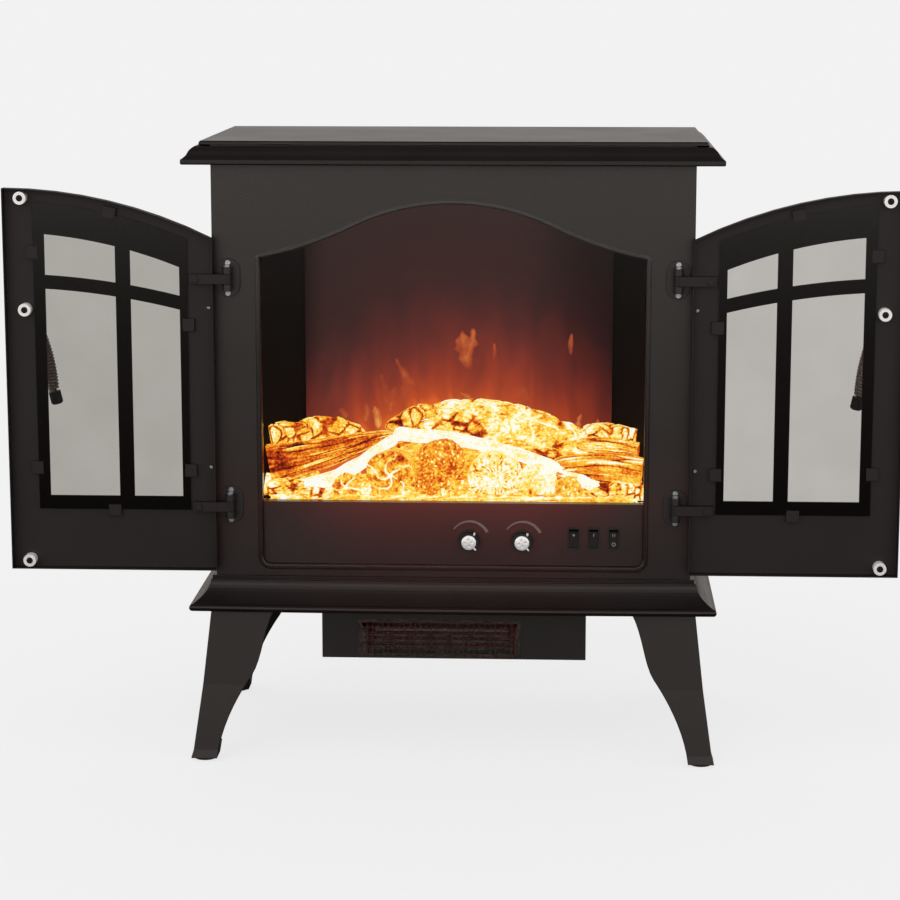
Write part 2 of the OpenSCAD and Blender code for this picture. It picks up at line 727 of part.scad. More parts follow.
element_y = heater_y0 + 22;
module heating_element() {
    color("#a86a50") {
        for (x = [outlet_x - outlet_w / 2 + 4, outlet_x + outlet_w / 2 - 6])
            block([x, element_y - 8, leg_h - heater_drop + sheet], [x + 2, element_y + 8, outlet_z + 15]);
        for (i = [-2:2]) translate([outlet_x - outlet_w / 2 + 6 - eps, element_y,
            outlet_z + i * 6]) rod_x(1.8, outlet_w - 12 + 2 * eps);
    }
}

// A cross-flow fan wheel: two end discs, a ring of blades and its shaft
module fan_wheel() {
    color("#9aa0a5") translate([outlet_x, fan_y, fan_z]) {
        translate([-fan_hl - 14, 0, 0]) rod_x(fan_shaft, 2 * fan_hl + 34);
        for (x = [-fan_hl, fan_hl - 2]) translate([x, 0, 0]) rod_x(fan_r, 2);
        for (a = [0:20:340]) rotate([a, 0, 0]) translate([0, fan_r - 3.5, 0]) rotate([30, 0, 0])
            block([-fan_hl, -2.6, -0.4], [fan_hl, 2.6, 0.4]);
    }
}

module fan_motor() {
    x0 = outlet_x + fan_hl + 10;
    color("#4a4d50") translate([x0, fan_y, fan_z]) difference() {
        union() {
            block([4, -20, leg_h - heater_drop + sheet - fan_z], [30, 20, 24]);
            rod_x(9, 36);
        }
        translate([-1, 0, 0]) rod_x(fan_shaft + bearing_gap, 16);
    }
}

// ---- hinges on the case ----

pin_x = case_hw - pin_in;
pin_out = door_gap + door_t - 3;
plate_t = 3;
plate_hw = 12;
plate_screw = 15.5;
knuckle_h = 10;
lug_gap = 0.3;
lug_h = 7;

module hinge_brackets() {
    color("#161616") for (side = [-1, 1], z = hinge_zs) translate([side * pin_x, front_y,
        z]) difference() {
        union() {
            for (e = [-1, 1]) translate([0, -plate_t, e * 7.5]) rod_y(plate_hw, plate_t);
            block([-plate_hw, -plate_t, -7.5], [plate_hw, 0, 7.5]);
            for (e = [0, 1]) mirror([0, 0, e]) translate([0, 0, knuckle_h / 2 + lug_gap]) {
                translate([0, -pin_out, 0]) cylinder(r = knuckle_r, h = lug_h);
                block([-3.2, -pin_out, 0], [3.2, -plate_t + eps, lug_h]);
            }
        }
        translate([0, -pin_out, -20]) cylinder(r = pin_r + 0.05, h = 40);
    }
}

module hinge_pins() {
    l = knuckle_h + 2 * (lug_gap + lug_h);
    color(CHROME) for (side = [-1, 1], z = hinge_zs) translate([side * pin_x, front_y - pin_out,
        z - l / 2]) {
        translate([0, 0, -1]) cylinder(r = pin_r, h = l + 1);
        translate([0, 0, l]) cylinder(r = pin_r + 1.4, h = 1.6);
    }
}

// ---- doors ----

// Doors are drawn shut, at [distance from the middle, distance in front of the case, height],
// and this turns them half a turn about the pin
module open_door(side) {
    mirror([side < 0 ? 1 : 0, 0, 0]) translate([2 * pin_x, front_y - 2 * pin_out, 0]) mirror([1, 0,
        0]) children();
}

door_z0 = base_top + door_lift;
door_z1 = door_z0 + door_h;
door_u1 = pin_x - pin_reach;
door_out = door_gap + door_t;
door_inner = door_out - sheet;
function door_arch(u) = door_z1 - drop(door_arch_r, u);

// Panes: two columns, with a bar that follows a flatter arch
stile = 40;
hinge_stile = 35;
upright_w = 15;
pane_share = 0.59;
pane_w = door_u1 - hinge_stile - upright_w - door_seam - stile;
pane_mid = door_seam + stile + pane_share * pane_w;
pane_us = [[door_seam + stile, pane_mid], [pane_mid + upright_w, door_u1 - hinge_stile]];
pane_top_drop = 45;
pane_z0 = door_z0 + 75.5;
bar_r = 745;
bar_h = 14;
function bar_top(u) = door_z1 - 87 - drop(bar_r, u);

// An outline between two curves of u
module between(u0, u1, low, high) {
    n = 8;
    us = [for (i = [0:n]) u0 + (u1 - u0) * i / n];
    polygon(concat([for (u = us) [u, low(u)]], [for (i = [n:-1:0]) [us[i], high(us[i])]]));
}

module door_outline(d) { between(door_seam + d, door_u1 - d, function (u) door_z0 + d,
    function (u) door_arch(u) - d); }

module panes(d) {
    for (p = pane_us) {
        between(p[0] - d, p[1] + d, function (u) bar_top(u) - d,
            function (u) door_arch(u) - pane_top_drop + d);
        between(p[0] - d, p[1] + d, function (u) pane_z0 - d, function (u) bar_top(u) - bar_h + d);
    }
}

module door_panel(side) {
    frame = 7;
    color(BLACK) open_door(side) difference() {
        union() {
            slab_y(door_gap, door_out) door_outline(0);
            slab_y(door_out - eps, door_out + 1.5) difference() {
                between(pane_us[0][0] - frame, pane_us[1][1] + frame, function (u) pane_z0 - frame,
                    function (u) door_arch(u) - pane_top_drop + frame);
            }
        }
        slab_y(door_gap - 1, door_inner) door_outline(sheet);
        slab_y(door_gap - 2, door_out + 3) panes(0);
        for (z = hinge_zs) block([door_u1 - sheet - 1, door_gap - 1, z - strap_h / 2 - 0.5],
            [door_u1 + 1, strap_out + strap_t + 0.5, z + strap_h / 2 + 0.5]);
        translate([bolt_u, door_gap, handle_z]) rod_y(rod_r + 0.1, door_t + 3);
    }
}

glass_in = 29;
glass_hinge_in = 27;
glass_u = [door_seam + glass_in, door_u1 - glass_hinge_in];
glass_top_drop = 13;
glass_z0 = door_z0 + 62;
door_glass_t = 3;
module door_glass(side) {
    color(GLASS) open_door(side) slab_y(door_inner - door_glass_t, door_inner)
        between(glass_u[0], glass_u[1], function (u) glass_z0,
            function (u) door_arch(u) - glass_top_drop);
}

clip_w = 13;
clip_t = 1.3;
// A clip at a glass edge: its tongue lies over the glass along +X, and its foot stands beside the edge
module clip() {
    y = door_inner - door_glass_t;
    block([-7, y - clip_t, -clip_w / 2], [5, y, clip_w / 2]);
    block([-7, y - eps, -clip_w / 2], [-0.4, door_inner, clip_w / 2]);
}
top_clip_u = (glass_u[0] + glass_u[1]) / 2;
module glass_clips(side) {
    color("#1d1d1d") open_door(side) {
        for (z = [door_z0 + 105, door_z0 + 326]) translate([glass_u[0], 0, z]) clip();
        for (z = [door_z0 + 103, door_z0 + 253]) translate([glass_u[1], 0, z]) mirror([1, 0, 0]) clip();
        translate([top_clip_u, 0, door_arch(top_clip_u) - glass_top_drop]) rotate([0,
            90 + asin(top_clip_u / door_arch_r), 0]) clip();
        translate([top_clip_u, 0, glass_z0]) rotate([0, -90, 0]) clip();
    }
}

magnet_u = 20;
magnet_r = 6.5;
magnet_bore = 2.9;
bolt_u = 22;
handle_z = door_z0 + 268;
// Two ring magnets that hold the door shut, and the sleeve nut that holds the handle
module door_magnets(side) {
    color(CHROME) open_door(side) {
        for (z = [door_z0 + magnet_r + 2, door_arch(magnet_u) - magnet_r - 3]) translate([magnet_u,
            door_gap + 1, z]) difference() {
            rod_y(magnet_r, door_inner - door_gap - 1);
            translate([0, -1, 0]) rod_y(magnet_bore, door_inner - door_gap - 3);
        }
        translate([bolt_u, door_gap + 1, handle_z]) difference() {
            rod_y(magnet_r, door_inner - door_gap - 1);
            translate([0, -1, 0]) rod_y(rod_r + 0.1, door_t);
        }
    }
}

strap_out = door_gap + 3;
strap_t = 3;
strap_h = 10;
// Two straps with a knuckle on the pin and a block that is screwed to the inside of the door
module hinge_arms(side) {
    color("#161616") open_door(side) for (z = hinge_zs) translate([0, 0, z]) {
        difference() {
            union() {
                block([glass_u[1] + 3, strap_out, -strap_h / 2], [pin_x, strap_out + strap_t,
                    strap_h / 2]);
                translate([pin_x, pin_out, -knuckle_h / 2]) cylinder(r = knuckle_r, h = knuckle_h);
                block([glass_u[1] + 3, strap_out + strap_t - eps, -strap_h / 2], [door_u1 - sheet - 1,
                    door_inner, strap_h / 2]);
                translate([glass_u[1] + 9, strap_out - 1.6, 0]) rod_y(3.4, 2);
            }
            translate([pin_x, pin_out, -knuckle_h]) cylinder(r = pin_r + 0.1, h = 2 * knuckle_h);
        }
    }
}

// ---- handles ----

rod_r = 2.6;
stand_off = 16;
bend_r = 14;
tilt_in = 12;
tilt_out = 5;
bend_end = [bend_r - bend_r * sin(tilt_out), door_out + stand_off + bend_r * cos(tilt_out), 0];
cap_l = 13;
spring_start = 3;
rod_short = 4;
collar_h = 3;

// Lays the handle's plane out with X down the door and Y outward from the sleeve nut
module handle_plane(side) { open_door(side) translate([bolt_u, 0, handle_z]) rotate([0, 90 - tilt_in,
    0]) children(); }

// Stands its children's Z axis along the grip, from the end of the bend
module on_grip(side) { handle_plane(side) translate(bend_end) rotate([0, 90, tilt_out]) children(); }

module handle_rod(side) {
    root = door_gap + 4;
    color("#1c1a19") {
        handle_plane(side) {
            translate([0, root, 0]) rod_y(rod_r, door_out + stand_off - root);
            translate([bend_r, door_out + stand_off, 0]) rotate([0, 0, 90 + tilt_out])
                rotate_extrude(angle = 90 - tilt_out) translate([bend_r, 0]) circle(r = rod_r);
        }
        on_grip(side) {
            cylinder(r = rod_r, h = handle_l - rod_short);
            translate([0, 0, -collar_h / 2]) cylinder(r = rod_r + 0.9, h = collar_h);
        }
    }
}

// The wound grip: a barrel of touching turns round the rod
grip_r = 5.2;
grip_swell = 3.6;
module handle_spring(side) {
    l = handle_l - cap_l - spring_start;
    turns = 22;
    function grip(t) = grip_r + grip_swell * sin(180 * t);
    outer = [for (i = [0:4 * turns]) let (t = i / (4 * turns)) [grip(t)
        - (i % 4 == 0 ? 1.1 : (i % 4 == 2 ? 0 : 0.35)), l * t]];
    color("#6f625c") on_grip(side) translate([0, 0, spring_start])
        rotate_extrude() polygon(concat([[rod_r + 0.15, l], [rod_r + 0.15, 0]], outer));
}

module handle_cap(side) {
    color("#0c0c0c") on_grip(side) translate([0, 0, handle_l - cap_l]) difference() {
        union() {
            cylinder(r = 6.2, h = cap_l - 1.5);
            translate([0, 0, cap_l - 1.5]) cylinder(r1 = 6.2, r2 = 4.8, h = 1.5);
        }
        translate([0, 0, -1]) cylinder(r = rod_r + 0.05, h = cap_l - 3);
    }
}

top_cap();
front_panel();
side_panel(-1);  // side_panel_left
side_panel(1);  // side_panel_right
back_panel();
base_plinth();
leg_at(-1, -1) leg();  // leg_front_left
leg_at(1, -1) leg();  // leg_front_right
leg_at(-1, 1) leg();  // leg_rear_left
leg_at(1, 1) leg();  // leg_rear_right
foot_pads();
leg_bolts();
window_bead();
front_glass();
control_panel();
dial_marks();
switch_housings();
thermostat();
dimmer();
firebox();
flame_screen();
log_set();
ember_bed();
light_tray();
light_board();
flame_motor();
shaft_bushes();
heater_housing();
heater_grille();
heating_element();
fan_motor();
cable_gland();
hinge_brackets();
hinge_pins();
case_screws();
knob(knob_xs[0]);  // thermostat_knob
knob_cap(knob_xs[0]);  // thermostat_knob_cap
knob(knob_xs[1]);  // flame_knob
knob_cap(knob_xs[1]);  // flame_knob_cap
rocker(switch_xs[0]);  // power_rocker
rocker(switch_xs[1]);  // low_heat_rocker
rocker(switch_xs[2]);  // high_heat_rocker
flame_rotor();
fan_wheel();
door_panel(-1);  // left_door_panel
door_glass(-1);  // left_door_glass
glass_clips(-1);  // left_glass_clips
door_magnets(-1);  // left_door_magnets
hinge_arms(-1);  // left_hinge_arms
handle_rod(-1);  // left_handle_rod
handle_spring(-1);  // left_handle_spring
handle_cap(-1);  // left_handle_cap
door_panel(1);  // right_door_panel
door_glass(1);  // right_door_glass
glass_clips(1);  // right_glass_clips
door_magnets(1);  // right_door_magnets
hinge_arms(1);  // right_hinge_arms
handle_rod(1);  // right_handle_rod
handle_spring(1);  // right_handle_spring
handle_cap(1);  // right_handle_cap
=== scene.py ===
"""A black electric stove heater in its real finishes, with glazed doors standing open and a log fire.

Sizes are millimetres where a name ends in _mm or a comment says so; everything else is metres.
"""

import json
import math
import random

import bpy
import numpy as np
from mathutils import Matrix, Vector, noise
from mathutils.bvhtree import BVHTree


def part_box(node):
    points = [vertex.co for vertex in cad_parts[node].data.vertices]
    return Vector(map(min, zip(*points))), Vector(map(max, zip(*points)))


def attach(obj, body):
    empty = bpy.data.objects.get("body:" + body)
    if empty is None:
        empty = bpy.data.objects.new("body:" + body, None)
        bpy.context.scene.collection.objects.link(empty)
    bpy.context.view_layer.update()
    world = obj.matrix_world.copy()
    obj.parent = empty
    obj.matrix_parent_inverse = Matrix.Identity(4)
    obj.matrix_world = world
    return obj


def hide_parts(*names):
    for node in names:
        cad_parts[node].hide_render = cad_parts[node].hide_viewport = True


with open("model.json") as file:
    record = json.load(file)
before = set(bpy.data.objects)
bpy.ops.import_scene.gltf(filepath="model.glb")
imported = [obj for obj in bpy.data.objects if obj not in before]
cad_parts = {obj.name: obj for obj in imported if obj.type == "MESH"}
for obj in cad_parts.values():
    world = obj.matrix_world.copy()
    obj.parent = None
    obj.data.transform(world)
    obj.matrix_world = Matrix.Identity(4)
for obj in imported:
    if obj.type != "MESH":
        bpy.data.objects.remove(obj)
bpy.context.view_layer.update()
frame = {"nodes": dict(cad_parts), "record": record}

MM = 0.001
TURN = 2 * math.pi
NODES = frame["nodes"]
RECORD = frame["record"]


# ---------------------------------------------------------------- small tools

def rgb(code):
    """Linear colour of an sRGB hex value."""
    parts = [int(code[i:i + 2], 16) / 255 for i in (0, 2, 4)]
    return [c / 12.92 if c <= 0.04045 else ((c + 0.055) / 1.055) ** 2.4 for c in parts] + [1.0]


def add(tree, kind, inputs=(), stops=(), **settings):
    """Adds one node. inputs gives each socket its value or its source; stops fills a colour ramp."""
    node = tree.nodes.new("ShaderNode" + kind)
    for name, value in settings.items():
        setattr(node, name, value)
    for name, value in dict(inputs).items():
        if isinstance(value, bpy.types.NodeSocket):
            tree.links.new(value, node.inputs[name])
        else:
            node.inputs[name].default_value = value
    for i, (place, colour) in enumerate(stops):
        marks = node.color_ramp.elements
        stop = marks[i] if i < len(marks) else marks.new(place)
        stop.position = place
        stop.color = colour
    return node


def sums(tree, operation, *values):
    """The result of one step of arithmetic."""
    return add(tree, "Math", dict(enumerate(values)), operation=operation).outputs[0]


def mottle(tree, where, size_mm, detail=2.0, **more):
    """Soft noise from 0 to 1, with lumps of about that size."""
    inputs = {"Vector": where, "Scale": 1 / (size_mm * MM), "Detail": detail, **more}
    return add(tree, "TexNoise", inputs).outputs["Fac"]


def span(tree, value, low, high, to_low=0.0, to_high=1.0, eased=False):
    """Stretches the values from low to high over those from to_low to to_high."""
    inputs = {"Value": value, "From Min": low, "From Max": high, "To Min": to_low, "To Max": to_high}
    slope = "SMOOTHSTEP" if eased else "LINEAR"
    return add(tree, "MapRange", inputs, interpolation_type=slope).outputs["Result"]


def ramp(tree, value, *stops):
    """A colour for each value. Each stop is a value and its sRGB hex colour."""
    colours = [(place, rgb(code)) for place, code in stops]
    return add(tree, "ValToRGB", {"Fac": value}, colours).outputs["Color"]


def finish_called(name):
    """A new material, its empty node tree and the object's own coordinates in it."""
    material = bpy.data.materials.new(name)
    material.use_nodes = True
    tree = material.node_tree
    tree.nodes.clear()
    return material, tree, add(tree, "TexCoord").outputs["Object"]


def smooth(low, high, value):
    """0 below low, 1 above high, and an eased slope between them."""
    t = min(1.0, max(0.0, (value - low) / (high - low)))
    return t * t * (3 - 2 * t)


def grain(x, y, z, size):
    """Soft noise from -1 to 1 with lumps of about that size."""
    return noise.noise(Vector((x, y, z)) / size)


def plate_edge(x, y, z, size):
    """Distance from the nearest crack between plates of about that size, as a share of it."""
    near, _ = noise.voronoi(Vector((x, y, z)) / size)
    return near[1] - near[0]


def make(name, points, faces, material, body, replaced=(), heat=None):
    """One piece from its points in metres and its faces, riding on its body."""
    mesh = bpy.data.meshes.new(name)
    mesh.from_pydata([tuple(p) for p in points], [], faces)
    mesh.validate()
    mesh.materials.append(material)
    mesh.polygons.foreach_set("use_smooth", [True] * len(mesh.polygons))
    if heat is not None:
        mesh.attributes.new("warmth", "FLOAT", "POINT").data.foreach_set("value", heat)
    piece = bpy.data.objects.new(name, mesh)
    bpy.context.scene.collection.objects.link(piece)
    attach(piece, body)
    if replaced:
        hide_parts(*replaced)
    return piece


class Shape:
    """Points and faces gathered for one piece, with each point's heat."""

    def __init__(self):
        self.points, self.faces, self.heat = [], [], []

    def rings(self, rows, heats=None):
        """Joins rows of points, all of one length, into a closed skin with a lid at each end."""
        first, count = len(self.points), len(rows[0])
        for row in rows:
            self.points += row
        for heat_row in heats or [[0.0] * count] * len(rows):
            self.heat += heat_row
        for k in range(len(rows) - 1):
            for i in range(count):
                a, b = first + k * count + i, first + k * count + (i + 1) % count
                self.faces.append((a, b, b + count, a + count))
        self.faces.append(tuple(first + i for i in reversed(range(count))))
        last = first + (len(rows) - 1) * count
        self.faces.append(tuple(last + i for i in range(count)))

    def piece(self, name, material, body, slot, replaced=()):
        return make(name, self.points, self.faces, material, body, replaced, self.heat)


def through(line, spread=10):
    """Points of a smooth line through the given ones, spread to each stretch."""
    if len(line) < 3:
        return [line[0].lerp(line[-1], k / spread) for k in range(spread + 1)]
    ends = [2 * line[0] - line[1]] + line + [2 * line[-1] - line[-2]]
    found = []
    for a, b, c, d in zip(ends, ends[1:], ends[2:], ends[3:]):
        for k in range(spread):
            t = k / spread
            found.append(0.5 * (2 * b + (c - a) * t + (2 * a - 5 * b + 4 * c - d) * t * t
                                + (3 * b - a - 3 * c + d) * t ** 3))
    return found + [line[-1]]


def across(direction):
    """Two directions square to a line: sideways and up."""
    side = direction.cross(Vector((0, 0, 1)))
    side = side.normalized() if side.length > 1e-6 else Vector((1, 0, 0))
    return side, side.cross(direction).normalized()


# A log is out of round by this share of its radius, in swells about this far apart along it.
OUT_OF_ROUND = 0.14
SWELL_MM = 30


def turned(shape, line, profile, surface, around=64):
    """A body turned round a line in mm. profile lists (distance along, radius), and
    surface(along, angle, radius) gives each point's lift in mm and its heat."""
    spots = through([Vector(p) for p in line])
    lengths = [0.0]
    for a, b in zip(spots, spots[1:]):
        lengths.append(lengths[-1] + (b - a).length)
    rows, heats = [], []
    for k, (along, radius) in enumerate(profile):
        t0, r0 = profile[max(0, k - 1)]
        t1, r1 = profile[min(len(profile) - 1, k + 1)]
        slope = max(1e-9, math.hypot(t1 - t0, r1 - r0))
        outward, forward = (t1 - t0) / slope, -(r1 - r0) / slope
        j = min(len(spots) - 2, max(0, sum(1 for d in lengths if d <= along) - 1))
        direction = (spots[j + 1] - spots[j]).normalized()
        centre = spots[j] + direction * (along - lengths[j])
        side, up = across(direction)
        row, heat_row = [], []
        for i in range(around):
            angle = TURN * i / around
            lift, heat = surface(along, angle, radius)
            spoke = side * math.cos(angle) + up * math.sin(angle)
            bulge = grain(1.6 * math.cos(angle), 1.6 * math.sin(angle), along / SWELL_MM + line[0][0], 1.0)
            uneven = 1 + OUT_OF_ROUND * bulge
            out = max(0.02, radius * uneven + lift * outward)
            row.append((centre + spoke * out + direction * lift * forward) * MM)
            heat_row.append(heat)
        rows.append(row)
        heats.append(heat_row)
    shape.rings(rows, heats)


def swept(shape, line, radius, around=8):
    """A round wire of one radius along a line in metres."""
    rows = []
    side = None
    for k, spot in enumerate(line):
        direction = (line[min(len(line) - 1, k + 1)] - line[max(0, k - 1)]).normalized()
        # The sideways direction is carried along the line, so that the wire doesn't twist.
        if side is None:
            side = across(direction)[0]
        else:
            side = (side - direction * side.dot(direction)).normalized()
        up = side.cross(direction)
        angles = [TURN * i / around for i in range(around)]
        rows.append([spot + (side * math.cos(a) + up * math.sin(a)) * radius for a in angles])
    shape.rings(rows)


# ---------------------------------------------------------------- finishes
# Object coordinates are metres, because every CAD node and piece has its origin at the frame's own.

# Where the fire's glow sits on the screen, and how far the red glow painted on the coat reaches, in
# metres.
GLOW_X = 0.004
GLOW_REACH_X = 0.145
GLOW_BASE_Z = 0.352
GLOW_FADE_Z = 0.062
EMBER_TOP_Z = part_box("front_glass")[0].z
EMBER_REACH = 0.034


def powder_coat(name, colour, dusty, painted_ember_glow=False, gloss=(0.36, 0.5), shine=0.5):
    """Satin black powder coat on sheet steel, sprayed and baked: a fine orange peel, and soft corners that
    catch the light. Where asked, the embers' light is painted on it as a red emission round the window's
    lower edge."""
    coat, tree, where = finish_called(name)
    # The real orange peel is about 0.4 mm across; it is drawn at 2 mm so that it shows.
    peel = mottle(tree, where, 2, 3.0)
    clouds = mottle(tree, where, 90, 4.0, Roughness=0.6)
    shade = ramp(tree, clouds, (0.3, colour), (0.7, dusty))
    satin = span(tree, clouds, 0.0, 1.0, gloss[0], gloss[1])
    corners = add(tree, "Bevel", {"Radius": 0.9 * MM}, samples=4)
    bump = add(tree, "Bump", {"Height": peel, "Strength": 0.22, "Distance": 0.3 * MM,
                              "Normal": corners.outputs["Normal"]})
    skin = add(tree, "BsdfPrincipled", {"Base Color": shade, "IOR": 1.5, "Roughness": satin,
                                        "Normal": bump.outputs["Normal"], "Specular IOR Level": shine})
    # Painted light: the embers' red glow, as an emission that fades with height from the window's lower
    # edge and sideways from its middle.
    if painted_ember_glow:
        axes = add(tree, "SeparateXYZ", {"Vector": where})
        drop = sums(tree, "SUBTRACT", axes.outputs["Z"], EMBER_TOP_Z)
        drop = sums(tree, "ABSOLUTE", drop)
        drop = sums(tree, "DIVIDE", drop, -EMBER_REACH)
        drop = sums(tree, "EXPONENT", drop)
        side = sums(tree, "SUBTRACT", axes.outputs["X"], GLOW_X)
        side = sums(tree, "ABSOLUTE", side)
        side = span(tree, side, 0.06, 0.21, 1.0, 0.12, eased=True)
        red = sums(tree, "MULTIPLY", drop, side)
        # The painted glow lies only on faces in front of the fire.
        ahead = span(tree, axes.outputs["Y"], -0.04, -0.11)
        red = sums(tree, "MULTIPLY", red, ahead)
        tint = ramp(tree, red, (0.0, "000000"), (1.0, "52130f"))
        tree.links.new(tint, skin.inputs["Emission Color"])
        skin.inputs["Emission Strength"].default_value = 1.0
    add(tree, "OutputMaterial", {"Surface": skin.outputs["BSDF"]})
    return coat


def stove_paint():
    """Matt high-temperature paint inside the firebox: dry and sooty, it gives almost no reflection."""
    paint, tree, where = finish_called("matt_stove_paint")
    soot = mottle(tree, where, 45, 5.0)
    shade = ramp(tree, soot, (0.3, "0a0706"), (0.75, "150e0c"))
    speck = mottle(tree, where, 1.5)
    bump = add(tree, "Bump", {"Height": speck, "Strength": 0.3, "Distance": 0.2 * MM})
    skin = add(tree, "BsdfPrincipled", {"Base Color": shade, "Roughness": 0.8,
                                        "Normal": bump.outputs["Normal"], "Specular IOR Level": 0.05})
    add(tree, "OutputMaterial", {"Surface": skin.outputs["BSDF"]})
    return paint


def moulded(name, colour, worn, roughness, grain_mm, depth_mm):
    """Moulded plastic or rubber: fine pits from a spark-eroded mould, a little lighter where hands rub."""
    plastic, tree, where = finish_called(name)
    pits = add(tree, "TexVoronoi", {"Vector": where, "Scale": 1 / (grain_mm * MM)})
    rub = mottle(tree, where, 6, 3.0)
    shade = ramp(tree, rub, (0.35, colour), (0.75, worn))
    bump = add(tree, "Bump", {"Height": pits.outputs["Distance"], "Strength": 0.35,
                              "Distance": depth_mm * MM})
    skin = add(tree, "BsdfPrincipled", {"Base Color": shade, "Roughness": roughness,
                                        "Normal": bump.outputs["Normal"], "IOR": 1.5})
    add(tree, "OutputMaterial", {"Surface": skin.outputs["BSDF"]})
    return plastic


def metal(name, dark, light, roughness, stretch, streak_mm, metallic=1.0):
    """Bare or plated metal: streaks left by rolling, turning or brushing run along one direction."""
    sheet, tree, where = finish_called(name)
    drawn = add(tree, "VectorMath", {0: where, 1: stretch}, operation="MULTIPLY")
    streaks = mottle(tree, drawn.outputs["Vector"], streak_mm, 4.0)
    shade = ramp(tree, streaks, (0.3, dark), (0.7, light))
    gloss = span(tree, streaks, 0.0, 1.0, roughness * 0.75, roughness * 1.3)
    bump = add(tree, "Bump", {"Height": streaks, "Strength": 0.2, "Distance": 0.1 * MM})
    skin = add(tree, "BsdfPrincipled", {"Base Color": shade, "Metallic": metallic, "Roughness": gloss,
                                        "Normal": bump.outputs["Normal"]})
    add(tree, "OutputMaterial", {"Surface": skin.outputs["BSDF"]})
    return sheet


def float_glass(name, tint, edge, gloss, ior=1.5):
    """Toughened float glass: clear, very smooth, with the faint roller wave that toughening leaves."""
    glass, tree, where = finish_called(name)
    # Roller wave is about 250 mm from crest to crest and far under a tenth of a millimetre deep.
    wave = mottle(tree, where, 120, 1.0)
    smear = mottle(tree, where, 70, 3.0)
    shade = ramp(tree, smear, (0.25, edge), (0.7, tint))
    bump = add(tree, "Bump", {"Height": wave, "Strength": 0.05, "Distance": 0.2 * MM})
    pane = add(tree, "BsdfPrincipled", {"Base Color": shade, "Roughness": 0.0, "IOR": ior,
                                        "Specular IOR Level": gloss, "Transmission Weight": 1.0,
                                        "Normal": bump.outputs["Normal"]})
    add(tree, "OutputMaterial", {"Surface": pane.outputs["BSDF"]})
    return glass


def flame_screen_film():
    """Smoked acrylic with a half-silvered film, lit from behind: dark brown high up, and a red and orange
    haze low down."""
    film, tree, where = finish_called("smoked_acrylic_film")
    axes = add(tree, "SeparateXYZ", {"Vector": where})
    # How far from the middle of the glow, as a bell curve.
    off = sums(tree, "SUBTRACT", axes.outputs["X"], GLOW_X)
    off = sums(tree, "DIVIDE", off, GLOW_REACH_X)
    off = sums(tree, "POWER", off, 2.0)
    bell = sums(tree, "MULTIPLY", off, -1.0)
    bell = sums(tree, "EXPONENT", bell)
    # How high above the logs, as a decay.
    climb = sums(tree, "SUBTRACT", axes.outputs["Z"], GLOW_BASE_Z)
    climb = sums(tree, "DIVIDE", climb, -GLOW_FADE_Z)
    climb = sums(tree, "EXPONENT", climb)
    haze = sums(tree, "MULTIPLY", bell, climb)
    # Licks of light about 25 mm wide and three times as tall.
    tall = add(tree, "VectorMath", {0: where, 1: (1.0, 0.0, 0.33)}, operation="MULTIPLY")
    licks = mottle(tree, tall.outputs["Vector"], 25, 3.0, Distortion=0.6)
    licks = span(tree, licks, 0.3, 0.7, 0.78, 1.2)
    haze = sums(tree, "MULTIPLY", haze, licks)
    glow = ramp(tree, haze, (0.0, "080505"), (0.12, "2c1010"), (0.3, "62201a"), (0.55, "90311b"),
                (0.85, "bc4619"), (1.0, "e0601c"))
    # A paler band of smoke-brown light up the middle.
    band = span(tree, axes.outputs["X"], -0.17, -0.14, eased=True)
    fade = span(tree, axes.outputs["X"], 0.16, 0.05, eased=True)
    band = sums(tree, "MULTIPLY", band, fade)
    smoke = ramp(tree, band, (0.0, "060404"), (1.0, "281b19"))
    light = add(tree, "Mix", {0: 1.0, 6: glow, 7: smoke}, data_type="RGBA", blend_type="ADD")
    skin = add(tree, "BsdfPrincipled", {"Base Color": rgb("080606"), "Roughness": 0.3, "IOR": 1.49,
                                        "Specular IOR Level": 0.06, "Emission Color": light.outputs[2],
                                        "Emission Strength": 1.0})
    add(tree, "OutputMaterial", {"Surface": skin.outputs["BSDF"]})
    return film


def glowing_resin(name, strength):
    """Cast translucent resin, painted as burning wood and lit from inside: char in its cracks and
    white-hot ridges."""
    resin, tree, where = finish_called(name)
    heat = add(tree, "Attribute", attribute_name="warmth")
    # Ash flecks about 2.5 mm across and patches about 14 mm across break up the paint.
    flecks = mottle(tree, where, 2.5, 3.0)
    flecks = span(tree, flecks, 0.3, 0.7, -0.15, 0.15)
    patches = mottle(tree, where, 14, 2.0)
    patches = span(tree, patches, 0.3, 0.7, -0.1, 0.1)
    warmth = sums(tree, "ADD", heat.outputs["Fac"], flecks)
    warmth = sums(tree, "ADD", warmth, patches)
    colour = ramp(tree, warmth, (0.0, "220602"), (0.15, "661505"), (0.29, "b4370b"),
                  (0.41, "e56616"), (0.53, "f69a26"), (0.66, "ffc83c"),
                  (0.8, "ffe76e"), (0.92, "fff7bc"), (1.0, "fffef4"))
    rough = add(tree, "Bump", {"Height": warmth, "Strength": 0.3, "Distance": 0.5 * MM})
    skin = add(tree, "BsdfPrincipled", {"Base Color": rgb("1c0b05"), "Roughness": 0.7,
                                        "Normal": rough.outputs["Normal"], "Specular IOR Level": 0.1,
                                        "Emission Color": colour, "Emission Strength": strength})
    add(tree, "OutputMaterial", {"Surface": skin.outputs["BSDF"]})
    return resin


